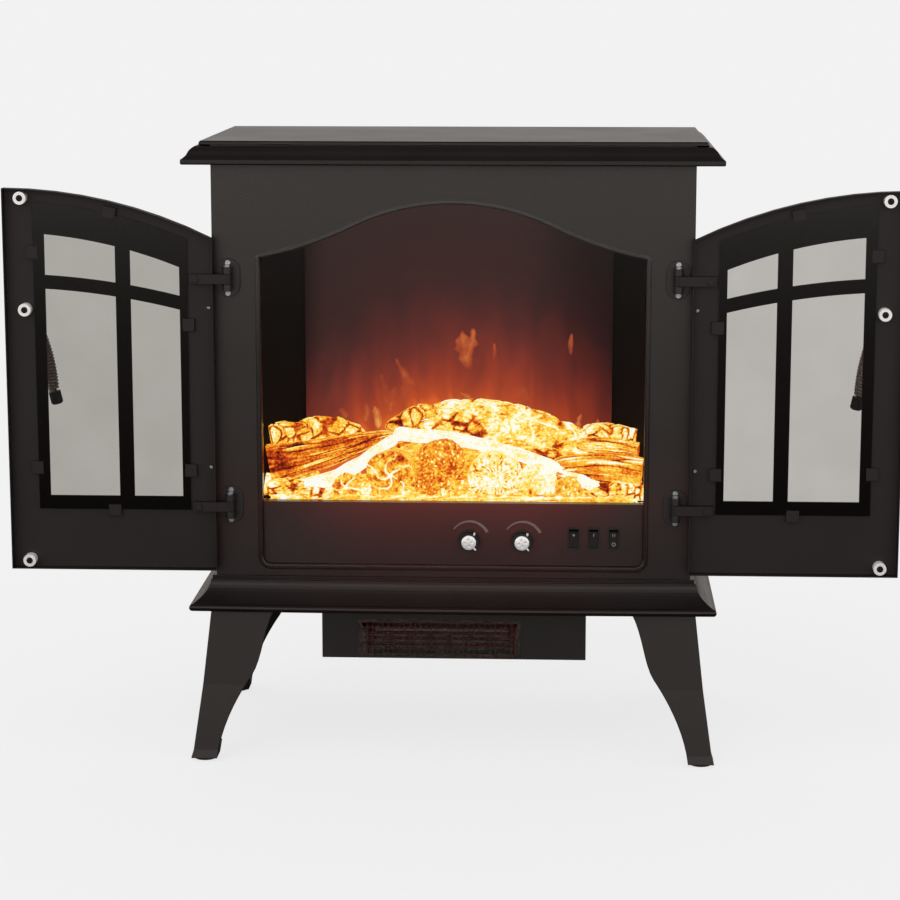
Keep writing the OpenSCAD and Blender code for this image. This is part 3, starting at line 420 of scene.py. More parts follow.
def flame_light():
    """The light of a flame thrown on the film: thin, see-through and soft at its edges, paler where it is
    hottest."""
    light, tree, where = finish_called("projected_flame_light")
    heat = add(tree, "Attribute", attribute_name="warmth")
    ripple = mottle(tree, where, 9, 2.0)
    ripple = span(tree, ripple, 0.3, 0.7, -0.12, 0.12)
    warmth = sums(tree, "ADD", heat.outputs["Fac"], ripple)
    colour = ramp(tree, warmth, (0.0, "a8462a"), (0.4, "b9522f"), (0.7, "dc7c3e"), (1.0, "ffc45c"))
    glow = add(tree, "Emission", {"Color": colour, "Strength": 1.0})
    clear = add(tree, "BsdfTransparent")
    body = span(tree, warmth, 0.02, 0.8, 0.0, 0.85)
    thin = add(tree, "MixShader", {0: body, 1: clear.outputs["BSDF"], 2: glow.outputs["Emission"]})
    add(tree, "OutputMaterial", {"Surface": thin.outputs["Shader"]})
    return light


def printed_ink(name, colour):
    """Screen-printed or pad-printed ink: flat and dry, with pinholes where the mesh was thin."""
    ink, tree, where = finish_called(name)
    mesh = mottle(tree, where, 0.8, 2.0)
    shade = ramp(tree, mesh, (0.3, "3a2f2d"), (0.5, colour))
    skin = add(tree, "BsdfPrincipled", {"Base Color": shade, "Roughness": 0.6, "Specular IOR Level": 0.3})
    add(tree, "OutputMaterial", {"Surface": skin.outputs["BSDF"]})
    return ink


def element_with_painted_glow():
    """Nickel-alloy heater tube just below red heat: dull grey-brown, with a faint red glow painted on as
    emission.
    """
    tube, tree, where = finish_called("nickel_alloy_element")
    bands = mottle(tree, where, 8, 3.0)
    shade = ramp(tree, bands, (0.3, "2c1c17"), (0.7, "4a2f26"))
    skin = add(tree, "BsdfPrincipled", {"Base Color": shade, "Roughness": 0.45, "Metallic": 1.0,
                                        "Emission Color": rgb("a02814"), "Emission Strength": 0.05})
    add(tree, "OutputMaterial", {"Surface": skin.outputs["BSDF"]})
    return tube


COAT = powder_coat("satin_black_powder_coat", "151110", "1c1716")
# A copy of the coat for the front and control panels, darker and warmer than the plain one: painted shade
# and painted red firelight.
COAT_BY_FIRE = powder_coat("satin_black_powder_coat_by_the_fire", "120d0c", "191110", True,
                           (0.3, 0.42), 0.55)
BEAD_COAT = powder_coat("gloss_black_enamel_bead", "16100f", "1e1716", True, (0.16, 0.26), 0.7)
# A darker copy of the coat for the cap and plinth mouldings: its darker colour is painted shade, and it
# carries the painted ember glow too.
MOULDING_COAT = powder_coat("satin_black_powder_coat_shaded_on_mouldings", "0e0909", "150f0e", True,
                            (0.3, 0.42), 0.34)
LEG_COAT = powder_coat("satin_black_powder_coat_on_legs", "130e0d", "1a1413", False, (0.34, 0.46), 0.42)
DOOR_COAT = powder_coat("matt_black_powder_coat_inside_the_doors", "161111", "1e1817", False,
                        (0.44, 0.6), 0.35)
ROCKER = moulded("moulded_rocker_abs", "191211", "221918", 0.5, 0.9, 0.05)
BY_THE_FIRE = ("control_panel", "front_panel")
PLASTIC = moulded("moulded_black_abs", "0e0d0d", "191716", 0.42, 0.9, 0.05)
CHROME = metal("satin_silver_lacquer", "f0edea", "ffffff", 0.38, (1, 1, 1), 5.0, 0.3)
ZINC = metal("zinc_plated_steel", "8d9094", "b9bcc0", 0.3, (1, 4, 1), 3.0)
SPRING = metal("nickel_plated_spring_wire", "b09388", "f0e0d8", 0.38, (1, 1, 1), 2.5, 0.4)
BLACK_SCREW = metal("black_phosphated_screw", "0b0a0a", "191716", 0.45, (1, 1, 1), 2.0, 0.5)
RESIN = glowing_resin("lit_log_resin", 1.06)
FLAME = flame_light()
PAINT_MARK = printed_ink("pad_printed_grey_ink", "a89c99")

FINISHES = {
    "black_coat": COAT,
    "liner_coat": stove_paint(),
    "foot_rubber": moulded("moulded_nitrile_rubber", "121212", "1e1e1d", 0.75, 1.2, 0.1),
    "zinc_steel": ZINC,
    "window_glass": float_glass("clear_toughened_glass", "fbfbfa", "f6f6f4", 0.1, 1.25),
    "smoked_screen": flame_screen_film(),
    "dial_print": printed_ink("screen_printed_grey_ink", "84706c"),
    "black_plastic": PLASTIC,
    "log_resin": RESIN,
    "ember_resin": glowing_resin("lit_ember_resin", 1.1),
    "circuit_board": moulded("white_solder_mask", "d8d6cc", "eceae2", 0.35, 1.5, 0.03),
    "motor_case": metal("pressed_steel_motor_case", "55585c", "6f7377", 0.42, (1, 1, 3), 4.0, 0.6),
    "bush_brass": metal("turned_brass", "a9833a", "d3ab5a", 0.28, (6, 1, 1), 2.0),
    "grille_steel": metal("heat_browned_grille_wire", "2a1f1c", "8c7a73", 0.24, (1, 1, 1), 2.0, 0.9),
    "element_steel": element_with_painted_glow(),
    "bright_chrome": CHROME,
    "foil_aluminium": metal("embossed_foil", "c5c8ca", "eceeef", 0.18, (1, 1, 1), 6.0),
    "fan_aluminium": metal("rolled_aluminium", "9c9fa2", "c3c6c9", 0.34, (5, 1, 1), 3.0),
    "handle_steel": metal("black_oxide_wire", "141110", "2e2725", 0.38, (1, 1, 1), 2.0, 0.7),
    "spring_steel": SPRING,
}
OWN_FINISH = {
    "left_door_glass": float_glass("grey_tinted_door_glass_left", "bab7b1", "b1aea7", 0.9),
    "right_door_glass": float_glass("grey_tinted_door_glass_right", "c9c6c1", "c0bcb6", 0.9),
    "window_bead": BEAD_COAT, "base_plinth": MOULDING_COAT, "top_cap": MOULDING_COAT,
    "leg_front_left": LEG_COAT, "leg_front_right": LEG_COAT,
    "leg_rear_left": LEG_COAT, "leg_rear_right": LEG_COAT,
    "left_door_panel": DOOR_COAT, "right_door_panel": DOOR_COAT, "left_glass_clips": DOOR_COAT,
    "right_glass_clips": DOOR_COAT, "left_hinge_arms": DOOR_COAT, "right_hinge_arms": DOOR_COAT,
    "power_rocker": ROCKER, "low_heat_rocker": ROCKER, "high_heat_rocker": ROCKER,
}
for part in RECORD["subparts"]:
    node = NODES[part["node"]]
    node.data.materials.clear()
    own = COAT_BY_FIRE if part["node"] in BY_THE_FIRE else OWN_FINISH.get(part["node"])
    node.data.materials.append(own or FINISHES[part["material_slot"]])

# Folded sheet and mouldings have small round edges, which catch the light along every corner.
EDGE_RADII_MM = {
    "top_cap": 1.2, "base_plinth": 1.2, "leg_front_left": 0.8, "leg_front_right": 0.8,
    "leg_rear_left": 0.8, "leg_rear_right": 0.8, "thermostat_knob": 0.4, "flame_knob": 0.4,
}
for name, radius in EDGE_RADII_MM.items():
    node = NODES[name]
    weld = node.modifiers.new("join_seams", "WELD")
    weld.merge_threshold = 0.01 * MM
    edge = node.modifiers.new("round_edges", "BEVEL")
    edge.width = radius * MM
    edge.segments = 2
    edge.limit_method = "ANGLE"
    edge.angle_limit = math.radians(32)
    edge.use_clamp_overlap = True
    edge.harden_normals = True


# ---------------------------------------------------------------- the fire
# Places in mm: the fire's floor and middle come from the CAD ember bed.

bed_low, bed_high = (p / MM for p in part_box("ember_bed"))
screen_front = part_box("flame_screen")[0].y / MM
bed_z = bed_high.z


def blunt(length, r_start, r_end, belly=0.0, count=60, sawn=""):
    """A log's radii from end to end, with rounded ends, closer together where it turns in. An end named in
    sawn stays square, where the log is cut off at the wall."""
    rows = []
    nose = 0.5 * min(r_start + r_end, length)
    for k in range(count + 1):
        along = length * (1 - math.cos(math.pi * k / count)) / 2
        share = along / length
        radius = r_start + (r_end - r_start) * share + belly * math.sin(math.pi * share)
        from_end = min(length if "start" in sawn else along,
                       length if "end" in sawn else length - along) / nose
        rows.append((along, max(0.1, radius * math.sqrt(max(0.0, 1 - max(0.0, 1 - from_end) ** 2)))))
    return rows


def cut_end(radius, dome, length, rows_face=34, rows_side=14):
    """A sawn log seen end on: a domed face, then a short body."""
    rows = []
    for k in range(rows_face + 1):
        r = max(0.1, radius * k / rows_face)
        rows.append((dome * (1 - math.sqrt(max(0.0, 1 - (0.98 * r / radius) ** 2))), r))
    rows += [(dome + 1 + (length - dome) * k / rows_side, radius) for k in range(rows_side)]
    return rows + [(length + 1.5, radius * 0.8), (length + 2, 0.2)]


def split_wood(seed, heat, furrow=1.5):
    """Long furrows along the grain, charred deep down, with hot streaks on the ridges."""
    def surface(along, angle, radius):
        x, y = math.cos(angle), math.sin(angle)
        coarse = grain(x * 3.2 + seed, y * 3.2, along / 55, 1.0)
        fine = grain(x * 9 + seed, y * 9, along / 38, 1.0)
        crack = smooth(0.02, 0.16, abs(grain(x * 2.6, y * 2.6 + seed, along / 70, 1.0)))
        lift = furrow * (coarse + 0.5 * fine) - 1.6 * (1 - crack)
        streak = smooth(0.18, 0.42, fine + 0.4 * coarse)
        return lift, (heat + 0.22 * coarse + 0.34 * streak) * (0.35 + 0.65 * crack)
    return surface


def plated_bark(seed, size, heat, white):
    """Thick burnt bark split into plates: dark outlines, and white-hot light in the widest splits."""
    def surface(along, angle, radius):
        reach = max(8.0, radius)
        x, y, z = along + seed, reach * math.cos(angle) * 1.1, reach * math.sin(angle) * 1.2
        x += 6 * grain(x, y, z + 9, 17)
        gap = plate_edge(x, y * 0.75, z * 0.75, size)
        fine = plate_edge(x, y, z, size * 0.36)
        swell = grain(x, y, z, 16)
        split = smooth(0.0, 0.14, gap)
        hot_gap = white * (1 - smooth(0.05, 0.17, gap)) * smooth(-0.2, 0.05, grain(x, y, z + 40, 34))
        outline = smooth(0.05, 0.13, gap) * (0.55 + 0.45 * smooth(0.03, 0.1, fine))
        warm = (heat + 0.32 * swell + 0.2 * grain(x, y, z + 80, 5)) * (0.3 + 0.7 * outline)
        return 1.8 * swell - 2.0 * (1 - split), max(warm, hot_gap)
    return surface


def coarse_char(seed, heat):
    """Crumbling charred end grain, speckled with sparks."""
    def surface(along, angle, radius):
        x, y = radius * math.cos(angle), radius * math.sin(angle)
        rough = grain(x + seed, y, along, 3.2)
        lump = grain(x, y + seed, along, 9)
        spark = smooth(0.28, 0.5, grain(x, y, along + seed, 2.4))
        return 0.9 * rough + 0.8 * lump, heat + 0.16 * rough + 0.16 * lump + 0.4 * spark
    return surface


def star_cracks(radius_mm, rays, twist, seed):
    """End grain that has split from its heart in a few bent rays of light, broken and uneven."""
    def surface(along, angle, radius):
        share = radius / radius_mm
        if along > 9:
            return 1.2 * grain(angle * 3, along, seed, 1.0), 0.6
        x, y = radius * math.cos(angle), radius * math.sin(angle)
        bent = angle + twist * share + 0.6 * grain(x, y, seed, 14)
        ray = abs(math.sin(bent * rays / 2)) * share * radius_mm / rays * 2
        broken = smooth(-0.6, -0.3, grain(x, y, seed + 20, 10))
        light = (1 - smooth(0.6, 1.8, ray)) * broken
        leaf = 0.58 + 0.34 * grain(x, y, seed + 5, 7) + 0.14 * grain(x, y, seed + 9, 2.5)
        crack = smooth(0.0, 0.06, abs(grain(x, y, seed + 30, 9)))
        return -1.3 * light - 0.8 * (1 - crack), max(leaf * (0.55 + 0.45 * crack), light)
    return surface


def spoked_end(radius_mm, spokes, seed):
    """End grain burnt into fine uneven radial checks round a speckled heart."""
    def surface(along, angle, radius):
        share = radius / radius_mm
        if along > 9:
            return 1.2 * grain(angle * 3, along, seed, 1.0), 0.86
        x, y = radius * math.cos(angle), radius * math.sin(angle)
        wander = angle + 0.45 * grain(x, y, seed, 9) + 0.1 * grain(x, y, seed, 3)
        check = (math.cos(wander * spokes) * smooth(0.12, 0.4, share)
                 * smooth(-0.5, 0.1, grain(x, y, seed + 7, 8)))
        speck = grain(x, y, seed, 2.6)
        dark = smooth(0.3, 0.85, check)
        return -1.0 * dark + 0.5 * speck, 0.94 - 0.4 * dark + 0.3 * min(0.0, speck) + 0.1 * speck
    return surface


def white_hot(seed, heat=1.0):
    """A branch burnt right through: almost white, yellow only in a few shallow checks."""
    def surface(along, angle, radius):
        x, y = math.cos(angle), math.sin(angle)
        knots = grain(x * 2 + seed, y * 2, along / 18, 1.0)
        check = smooth(0.0, 0.07, abs(grain(x * 2, y * 2 + seed, along / 40, 1.0)))
        return 1.4 * knots - 0.6 * (1 - check), heat + 0.12 * knots - 0.16 * (1 - check)
    return surface


LOG_SET = [
    # name, centre line, radii, surface, points around
    ("plank_log", [(-193, -87, 303), (-148, -80, 311), (-104, -70, 322), (-62, -62, 332)],
     blunt(135, 21, 5, 2, 70, "start"), split_wood(3, 0.5), 120),
    ("left_branch", [(-184, -97, 274), (-118, -88, 293), (-58, -67, 332)], blunt(141, 9, 5.5, 0.5),
     white_hot(1), 56),
    ("right_branch", [(-64, -67, 333), (16, -69, 325), (92, -80, 306), (151, -93, 282)],
     blunt(225, 7, 6.5, 0), white_hot(7), 56),
    ("loaf_log", [(-66, -36, 335), (-16, -34, 340), (46, -34, 334), (100, -36, 325), (150, -40, 313)],
     blunt(220, 9, 12, 17, 140), plated_bark(0, 21, 0.86, 1.0), 140),
    ("loaf_tip", [(-74, -46, 336), (-42, -43, 346), (-16, -40, 351)], blunt(60, 5, 12, 3),
     plated_bark(50, 13, 0.72, 0.6), 80),
    ("right_log", [(98, -74, 297), (148, -82, 301), (195, -88, 297)], blunt(98, 12, 16, 2, 60, "end"),
     split_wood(11, 0.56), 110),
    ("right_top_plank", [(126, -58, 321), (160, -66, 322), (191, -75, 319)],
     blunt(68, 6, 8, 2, 50, "end"),
     split_wood(17, 0.62, 1.0), 72),
    ("right_back_log", [(130, -44, 331), (156, -54, 335), (188, -67, 332)], blunt(63, 6, 8, 3, 50, "end"),
     plated_bark(23, 12, 0.9, 0.6), 72),
    ("left_back_lump", [(-192, -79, 331), (-170, -72, 335), (-148, -64, 331)],
     blunt(47, 12, 8, 2, 50, "start"),
     plated_bark(80, 13, 0.76, 0.3), 80),
    ("left_back_dome", [(-166, -62, 331), (-136, -54, 337), (-96, -45, 329)], blunt(74, 13, 5, 3),
     plated_bark(120, 20, 0.78, 0.3), 80),
    ("front_left_bark", [(-196, -96, 284), (-160, -95, 279), (-122, -93, 273)],
     blunt(75, 12, 6, 1, 50, "start"),
     plated_bark(31, 12, 0.86, 0.8), 80),
    ("front_right_bark", [(140, -93, 278), (170, -95, 281), (197, -96, 280)],
     blunt(58, 7, 10, 1, 50, "end"),
     plated_bark(41, 12, 0.84, 0.9), 80),
    ("under_log", [(-90, -48, 296), (30, -50, 304), (146, -56, 292)], blunt(238, 18, 16, 6, 80),
     plated_bark(60, 14, 0.74, 0.7), 100),
    ("star_end", [(-66, -93, 293), (-66, -60, 296)], cut_end(25, 6, 30), star_cracks(25, 5, 1.1, 2), 120),
    ("spoked_end", [(43, -94, 289), (43, -62, 292)], cut_end(27, 6, 30), spoked_end(27, 21, 6), 144),
    ("char_end_high", [(-13, -86, 306), (-13, -58, 308)], cut_end(24, 8, 24), coarse_char(4, 0.5), 110),
    ("char_end_low", [(-24, -96, 283), (-24, -66, 285)], cut_end(18, 6, 26), coarse_char(9, 0.46), 100),
    ("pale_end", [(86, -92, 286), (86, -62, 289)], cut_end(20, 7, 26), coarse_char(16, 0.86), 110),
    ("small_end", [(-112, -99, 281), (-112, -74, 283)], cut_end(15, 5, 20),
     star_cracks(15, 5, 0.5, 8), 84),
    ("corner_end", [(120, -97, 280), (120, -70, 282)], cut_end(14, 5, 22), coarse_char(14, 0.62), 80),
]
for name, line, radii, surface, around in LOG_SET:
    wood = Shape()
    turned(wood, line, radii, surface, around)
    wood.piece(name, RESIN, "case", "log_resin", ["log_set"])


COAL_COUNT = 150


def coals():
    """Rough lumps of ember over the whole bed, more of them and hotter to the front."""
    random.seed(7)
    embers = Shape()
    for k in range(COAL_COUNT):
        depth = random.random() ** 1.4
        y = bed_low.y + 5 + depth * (bed_high.y - bed_low.y - 12)
        half = bed_high.x - 8 - 33 * (y - bed_low.y) / (bed_high.y - bed_low.y)
        x = random.uniform(-half, half)
        size = random.uniform(3.5, 7.0)
        warmth = 0.62 + 0.3 * random.random() - 0.2 * depth
        seed = 10.0 * k

        def lump(along, angle, radius, seed=seed, warmth=warmth):
            x1, y1 = radius * math.cos(angle), radius * math.sin(angle)
            rough = grain(x1 + seed, y1, along, 4)
            return 1.6 * rough, warmth + 0.5 * rough

        lean = Vector((random.uniform(-1, 1), random.uniform(-1, 1), 0.4)).normalized() * size
        middle = Vector((x, y, bed_z + 0.5 * size))
        turned(embers, [middle - lean, middle + lean], blunt(2 * size, size, size * 0.8, 0, 8), lump, 12)
    return embers


coals().piece("ember_coals", FINISHES["ember_resin"], "case", "ember_resin")


def bed_skin():
    """The bed's own skin: a ragged tray of embers with a bright front lip, just round the CAD bed."""
    skin = Shape()
    long_count, deep_count = 220, 40
    rows, heats = [], []
    for j in range(deep_count + 1):
        y = bed_low.y + 1.0 + (bed_high.y - bed_low.y - 2) * j / deep_count
        half = bed_high.x - 7.5 - 30 * (y - bed_low.y) / (bed_high.y - bed_low.y)
        top, low, warm, cool = [], [], [], []
        for i in range(long_count + 1):
            x = -half + 2 * half * i / long_count
            rough = grain(x, y, 0, 7) + 0.5 * grain(x, y, 5, 2.8)
            edge = smooth(0, 6, y - bed_low.y)
            top.append(Vector((x, y, bed_z + (1.2 + 1.2 * rough) * edge)) * MM)
            low.append(Vector((x, y, bed_low.z + 0.4)) * MM)
            warm.append(0.66 + 0.4 * rough + 0.3 * (1 - edge))
            cool.append(0.3)
        rows.append(top + low[::-1])
        heats.append(warm + cool)
    skin.rings(rows, heats)
    return skin


bed_skin().piece("ember_bed_skin", FINISHES["ember_resin"], "case", "ember_resin", ["ember_bed"])


def flame_tongue(shape, foot, tip, width, bend, heat_foot, heat_tip):
    """One flame on the screen: a thin leaf from foot to tip, bulging to one side."""
    rows, heats = [], []
    steps = 16
    rise = Vector((tip[0] - foot[0], 0, tip[1] - foot[1]))
    out = Vector((rise.z, 0, -rise.x)).normalized()
    for k in range(steps + 1):
        share = k / steps
        start = Vector((foot[0], screen_front - 0.9, foot[1]))
        centre = start + rise * share + out * bend * math.sin(math.pi * share)
        half = max(0.15, width / 2 * math.sin(math.pi * min(1.0, share * 0.9 + 0.06)) ** 0.8
                   * (1 + 0.9 * grain(foot[0], tip[1], share * 6, 1.0)))
        ring = []
        for i in range(8):
            a = TURN * i / 8
            ring.append((centre + out * half * math.cos(a) + Vector((0, 0.35 * math.sin(a), 0))) * MM)
        rows.append(ring)
        middle = ((heat_foot + (heat_tip - heat_foot) * share) * smooth(0.0, 0.12, share)
                  * smooth(1.0, 0.9, share))
        heats.append([middle * abs(math.sin(TURN * i / 8)) for i in range(8)])
    shape.rings(rows, heats)


FLAMES = [
    # foot x and z, tip x and z, width, bend, heat at the foot and at the tip
    ((12, 388), (4, 432), 19, -2, 0.42, 0.62), ((6, 398), (16, 434), 12, 3, 0.5, 0.66),
    ((37, 399), (38, 418), 5, 1, 0.3, 0.5), ((120, 405), (121, 429), 6, -1, 0.25, 0.55),
    ((-43, 368), (-68, 402), 7, -3, 0.45, 0.35), ((-60, 352), (-58, 392), 13, 3, 0.4, 0.2),
    ((-86, 322), (-91, 350), 11, 2, 0.95, 0.75), ((-72, 338), (-66, 372), 12, -3, 0.5, 0.25),
    ((16, 352), (0, 364), 8, 2, 0.7, 0.6), ((129, 320), (132, 343), 7, -2, 0.8, 0.5),
    ((148, 320), (149, 338), 5, 1, 0.7, 0.45), ((-120, 334), (-128, 346), 8, 1, 0.5, 0.3),
    ((-78, 346), (-84, 384), 9, 2, 0.35, 0.2), ((60, 348), (72, 372), 14, 3, 0.4, 0.25),
    ((-102, 330), (-99, 352), 10, 2, 0.6, 0.4),
]
tongues = Shape()
for leaf in FLAMES:
    flame_tongue(tongues, *leaf)
tongues.piece("flame_tongues", FLAME, "case", "smoked_screen")


# ---------------------------------------------------------------- handles

def core_of(name):
    """A long CAD node's upper end, its downward direction, its length and its greatest radius."""
    co = np.array([v.co for v in NODES[name].data.vertices], float)
    middle = co.mean(0)
    axis = np.linalg.svd(co - middle)[2][0]
    if axis[2] > 0:
        axis = -axis
    along = (co - middle) @ axis
    away = np.linalg.norm(co - middle - np.outer(along, axis), axis=1)
    start = Vector(middle + axis * along.min())
    return start, Vector(axis), along.max() - along.min(), away.max()


for side in ("left", "right"):
    start, axis, length, widest = core_of(side + "_handle_spring")
    wire = 1.5 * MM
    waist = 3.9 * MM
    turns = 22
    steps = 20 * turns
    side_way, up_way = across(axis)
    coil = []
    for k in range(steps + 1):
        share = k / steps
        swell = waist + (widest - wire - waist) * math.sin(math.pi * share) ** 0.8
        angle = TURN * turns * share
        coil.append(start + axis * (wire + (length - 2 * wire) * share)
                    + (side_way * math.cos(angle) + up_way * math.sin(angle)) * swell)
    spring = Shape()
    swept(spring, coil, wire, 8)
    spring.piece(side + "_handle_coil", SPRING, side + "_door", "spring_steel", [side + "_handle_spring"])


# ---------------------------------------------------------------- knobs and switches

def lathe(shape, centre, profile, around=48, lift=None):
    """A body turned about a line towards the front. profile lists (radius, how far forward), in mm."""
    rows = []
    for radius, out in profile:
        row = []
        for i in range(around):
            angle = TURN * i / around
            raised = lift(radius, angle) if lift else 0.0
            row.append(Vector((centre.x + radius * MM * math.cos(angle), centre.y - (out + raised) * MM,
                               centre.z + radius * MM * math.sin(angle))))
        rows.append(row)
    shape.rings(rows)


def bright_cap(knob, body):
    """A knob's bright insert: a low dome with four thumb dimples and a small tail at its lower right."""
    low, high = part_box(knob + "_cap")
    centre = Vector(((low.x + high.x) / 2, high.y, (low.z + high.z) / 2))
    radius, depth = (high.x - low.x) / 2 / MM, (high.y - low.y) / MM

    def dimples(r, angle):
        deep = 0.0
        for k in range(4):
            a = math.radians(10 + 90 * k)
            gap = math.hypot(r * math.cos(angle) - 3.4 * math.cos(a),
                             r * math.sin(angle) - 3.4 * math.sin(a))
            deep -= 1.9 * (1 - smooth(0.5, 1.4, gap))
        return deep

    cap = Shape()
    dome = [(radius * math.sin(math.pi / 2 * k / 22), depth - 1.3 + 1.3 * math.cos(math.pi / 2 * k / 22))
            for k in range(1, 23)]
    lathe(cap, centre, [(0.05, depth)] + dome + [(radius, 0.3), (radius - 0.3, 0.05)], 64, dimples)
    tail = []
    for k in range(9):
        share = k / 8
        a = math.radians(-48)
        reach = (radius - 1.5 + 4.6 * share) * MM
        tail.append(Vector((centre.x + reach * math.cos(a), high.y - 1.3 * MM,
                            centre.z + reach * math.sin(a))))
    swept(cap, tail, 0.95 * MM, 10)
    cap.piece(knob + "_bright_cap", CHROME, body, "bright_chrome", [knob + "_cap"])


bright_cap("thermostat_knob", "thermostat_dial")
bright_cap("flame_knob", "flame_dial")


def front_of(node):
    """A probe that finds a CAD node's front face under a point seen from the front."""
    mesh = NODES[node].data
    tree = BVHTree.FromPolygons([v.co for v in mesh.vertices], [p.vertices for p in mesh.polygons])

    def probe(x, z):
        spot = tree.ray_cast(Vector((x, -1.0, z)), Vector((0, 1, 0)))[0]
        return spot.y if spot else None
    return probe


def raised_line(node, points, width, proud=0.12):
    """A thin bead of ink or moulding that follows a node's front face through points in metres (x, z)."""
    probe = front_of(node)
    line = []
    for x, z in points:
        y = probe(x, z)
        if y is not None:
            line.append(Vector((x, y + (width / 2 - proud) * MM, z)))
    shape = Shape()
    swept(shape, line, width / 2 * MM, 10)
    return shape


def ring_points(x, z, radius, count=28):
    """Points in metres all round a circle of so many millimetres."""
    angles = [TURN * k / count for k in range(count + 1)]
    return [(x + radius * MM * math.cos(a), z + radius * MM * math.sin(a)) for a in angles]


def bar_points(x, z, length):
    """Points in metres along an upright bar of so many millimetres."""
    return [(x, z + length * MM * (k / 6 - 0.5)) for k in range(7)]


# Each knob points up and to the right, this many degrees above level.
POINTER_TURN = 56
for knob, body in (("thermostat_knob", "thermostat_dial"), ("flame_knob", "flame_dial")):
    low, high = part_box(knob)
    x, z = (low.x + high.x) / 2, (low.z + high.z) / 2
    a = math.radians(POINTER_TURN)
    rim = (high.x - low.x) / 2 / MM
    points = [(x + (rim - inwards) * MM * math.cos(a), z + (rim - inwards) * MM * math.sin(a))
              for inwards in (2.4, 2.0, 1.6)]
    white = printed_ink("white_fill_paint_" + knob, "ffffff")
    raised_line(knob, points, 2.6, 0.5).piece(knob + "_pointer", white, body, "dial_print")

ROCKER_MARKS = {"power": "dot", "low_heat": "bar", "high_heat": "bars"}
for name, mark in ROCKER_MARKS.items():
    node = name + "_rocker"
    low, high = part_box(node)
    x, top, bottom = (low.x + high.x) / 2, high.z, low.z
    tall = (top - bottom) / MM
    upper = top - 0.23 * tall * MM
    marks = []
    if mark == "dot":
        marks.append(raised_line(node, ring_points(x, upper, 0.8), 1.8))
    if mark == "bar":
        marks.append(raised_line(node, bar_points(x, upper, 3.4), 1.2))
    if mark == "bars":
        marks.append(raised_line(node, bar_points(x - 1.0 * MM, upper, 3.2), 1.1))
        marks.append(raised_line(node, bar_points(x + 1.0 * MM, upper, 3.2), 1.1))
        marks.append(raised_line(node, ring_points(x, bottom + 0.22 * tall * MM, 1.7), 1.0))
    for k, shape in enumerate(marks):
        shape.piece(f"{name}_mark_{k + 1}", PAINT_MARK, name + "_switch", "dial_print")


# ---------------------------------------------------------------- door fastenings

# Rings of one node that lie further apart in height than this are told apart, in metres.
RING_GAP = 0.015


def clusters(node):
    """Middle and front of each separate ring in a node, told apart by height."""
    spots = sorted((tuple(v.co) for v in NODES[node].data.vertices), key=lambda v: v[2])
    groups = [[spots[0]]]
    for spot in spots[1:]:
        if spot[2] - groups[-1][-1][2] > RING_GAP:
            groups.append([])
        groups[-1].append(spot)
    found = []
    for group in groups:
        lows = [min(v[k] for v in group) for k in range(3)]
        highs = [max(v[k] for v in group) for k in range(3)]
        found.append(Vector(((lows[0] + highs[0]) / 2, lows[1], (lows[2] + highs[2]) / 2)))
    return found


def screw_head(shape, centre, radius, dome_mm):
    """A low domed screw head with a cross recess, its back at the given spot."""
    def recess(r, angle):
        across_way = min(abs(r * math.cos(angle)), abs(r * math.sin(angle)))
        return -0.5 * (1 - smooth(0.25, 0.45, across_way)) * (1 - smooth(0.5 * radius, 0.6 * radius, r))

    dome = [(radius * math.sin(math.pi / 2 * k / 14), dome_mm * math.cos(math.pi / 2 * k / 14) + 0.4)
            for k in range(1, 15)]
    lathe(shape, centre, [(0.05, dome_mm + 0.4)] + dome + [(radius, 0.05)], 40, recess)


# Two rivets hold each door's skin to its hinge stile: how far out and how high, in metres.
RIVET_X = 0.2465
RIVET_HEIGHTS = (0.308, 0.472)
for side, sign in (("left", -1), ("right", 1)):
    screws = Shape()
    for spot in clusters(side + "_door_magnets"):
        screw_head(screws, spot + Vector((0, 0.3 * MM, 0)), 3.3, 0.45)
    screws.piece(side + "_magnet_screws", BLACK_SCREW, side + "_door", "spring_steel")
    rivets = Shape()
    pan = front_of(side + "_door_panel")
    for z in RIVET_HEIGHTS:
        face = pan(sign * RIVET_X, z)
        screw_head(rivets, Vector((sign * RIVET_X, face + 0.1 * MM, z)), 2.0, 0.9)
    rivets.piece(side + "_door_rivets", ZINC, side + "_door", "spring_steel")


# ---------------------------------------------------------------- floor, light and camera

def bounced(tree, scattered=0.0):
    """1 for light mirrored in the stove, a share for light it scatters, and 0 for what is seen straight or
    through clear glass."""
    ray = add(tree, "LightPath")
    soft = sums(tree, "MULTIPLY", ray.outputs["Diffuse Depth"], scattered)
    both = sums(tree, "ADD", ray.outputs["Glossy Depth"], soft)
    return sums(tree, "MINIMUM", both, 1.0)


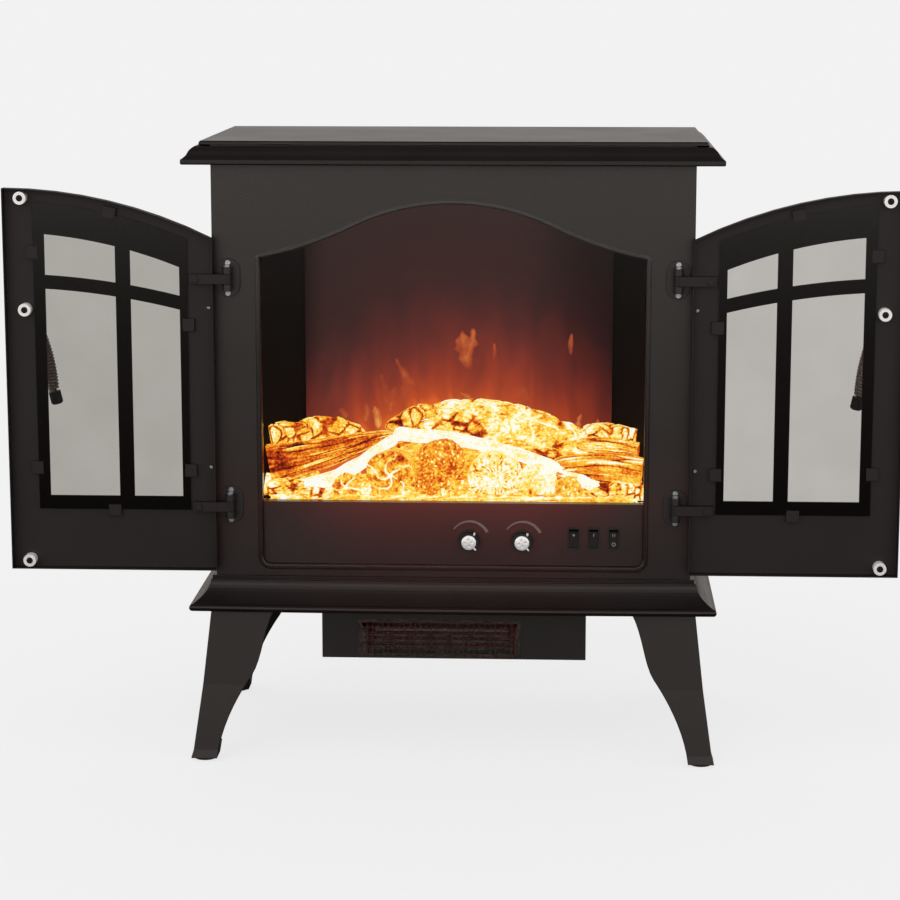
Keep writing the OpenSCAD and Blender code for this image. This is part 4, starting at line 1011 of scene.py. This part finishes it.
def studio():
    """A pale paper floor that runs into a pale surround, under broad soft light."""
    paper, tree, where = finish_called("matt_white_paper")
    fibre = mottle(tree, where, 3)
    bump = add(tree, "Bump", {"Height": fibre, "Strength": 0.05, "Distance": 0.1 * MM})
    pale = add(tree, "BsdfDiffuse", {"Color": rgb("626262"), "Normal": bump.outputs["Normal"]})
    # Light from under the paper keeps the shadows on it faint.
    lit = add(tree, "Emission", {"Color": rgb("e2e2e2"), "Strength": 1.0})
    sheet = add(tree, "AddShader", {0: pale.outputs["BSDF"], 1: lit.outputs["Emission"]})
    # Mirrored in the black coat the floor is painted dark by the stove, as its shade, and paler out in the
    # room.
    axes = add(tree, "SeparateXYZ", {"Vector": where})
    away = span(tree, axes.outputs["Y"], -0.6, -8.0)
    tone = ramp(tree, away, (0.0, "3c3431"), (0.12, "55504c"), (0.4, "837d78"), (1.0, "d8d2cc"))
    dim = add(tree, "Emission", {"Color": tone, "Strength": 1.0})
    mirrored = bounced(tree, 0.7)
    both = add(tree, "MixShader", {0: mirrored, 1: sheet.outputs["Shader"], 2: dim.outputs["Emission"]})
    add(tree, "OutputMaterial", {"Surface": both.outputs["Shader"]})
    reach = 9.0
    mesh = bpy.data.meshes.new("paper_floor")
    count = 96
    mesh.from_pydata([(reach * math.cos(TURN * i / count), reach * math.sin(TURN * i / count), -0.0005)
                      for i in range(count)], [], [tuple(range(count))])
    mesh.materials.append(paper)
    floor = bpy.data.objects.new("paper_floor", mesh)
    bpy.context.scene.collection.objects.link(floor)

    world = bpy.data.worlds.new("pale_room")
    bpy.context.scene.world = world
    world.use_nodes = True
    tree = world.node_tree
    tree.nodes.clear()
    way = add(tree, "SeparateXYZ", {"Vector": add(tree, "TexCoord").outputs["Generated"]})
    plain = add(tree, "Background", {"Color": rgb("f2f2f2"), "Strength": 1.0})
    # Windows round the room: bright at the stove's own height, dim towards the ceiling.
    level = span(tree, way.outputs["Z"], 0.2, 0.65, 1.0, 0.14, eased=True)
    front = span(tree, way.outputs["Y"], -0.5, 0.5, 1.9, 0.8)
    glow = sums(tree, "MULTIPLY", level, front)
    soft = add(tree, "Background", {"Color": rgb("fff8f2"), "Strength": glow})
    mirrored = bounced(tree)
    both = add(tree, "MixShader", {0: mirrored, 1: plain.outputs["Background"],
                                   2: soft.outputs["Background"]})
    tree_out = tree.nodes.new("ShaderNodeOutputWorld")
    tree.links.new(both.outputs["Shader"], tree_out.inputs["Surface"])

    key = bpy.data.lights.new("soft_key", "SUN")
    key.energy = 0.6
    key.angle = math.radians(35)
    lamp = bpy.data.objects.new("soft_key", key)
    lamp.visible_glossy = False
    lamp.rotation_euler = Vector((0.35, 0.75, -1.0)).to_track_quat("-Z", "Y").to_euler()
    bpy.context.scene.collection.objects.link(lamp)


def camera():
    """The eye stands 2.6 m in front and 0.8 m up, looking slightly down and to the left."""
    eye = bpy.data.cameras.new("eye")
    eye.sensor_width = 36.0
    eye.lens = 103.45
    seat = bpy.data.objects.new("eye", eye)
    seat.location = (0.1204, -2.7205, 0.7962)
    yaw, pitch = -0.0473, -0.1788
    ahead = Vector((math.sin(yaw) * math.cos(pitch), math.cos(yaw) * math.cos(pitch), math.sin(pitch)))
    seat.rotation_euler = ahead.to_track_quat("-Z", "Y").to_euler()
    bpy.context.scene.collection.objects.link(seat)
    bpy.context.scene.camera = seat


studio()
camera()
bpy.context.scene.view_settings.view_transform = "Standard"
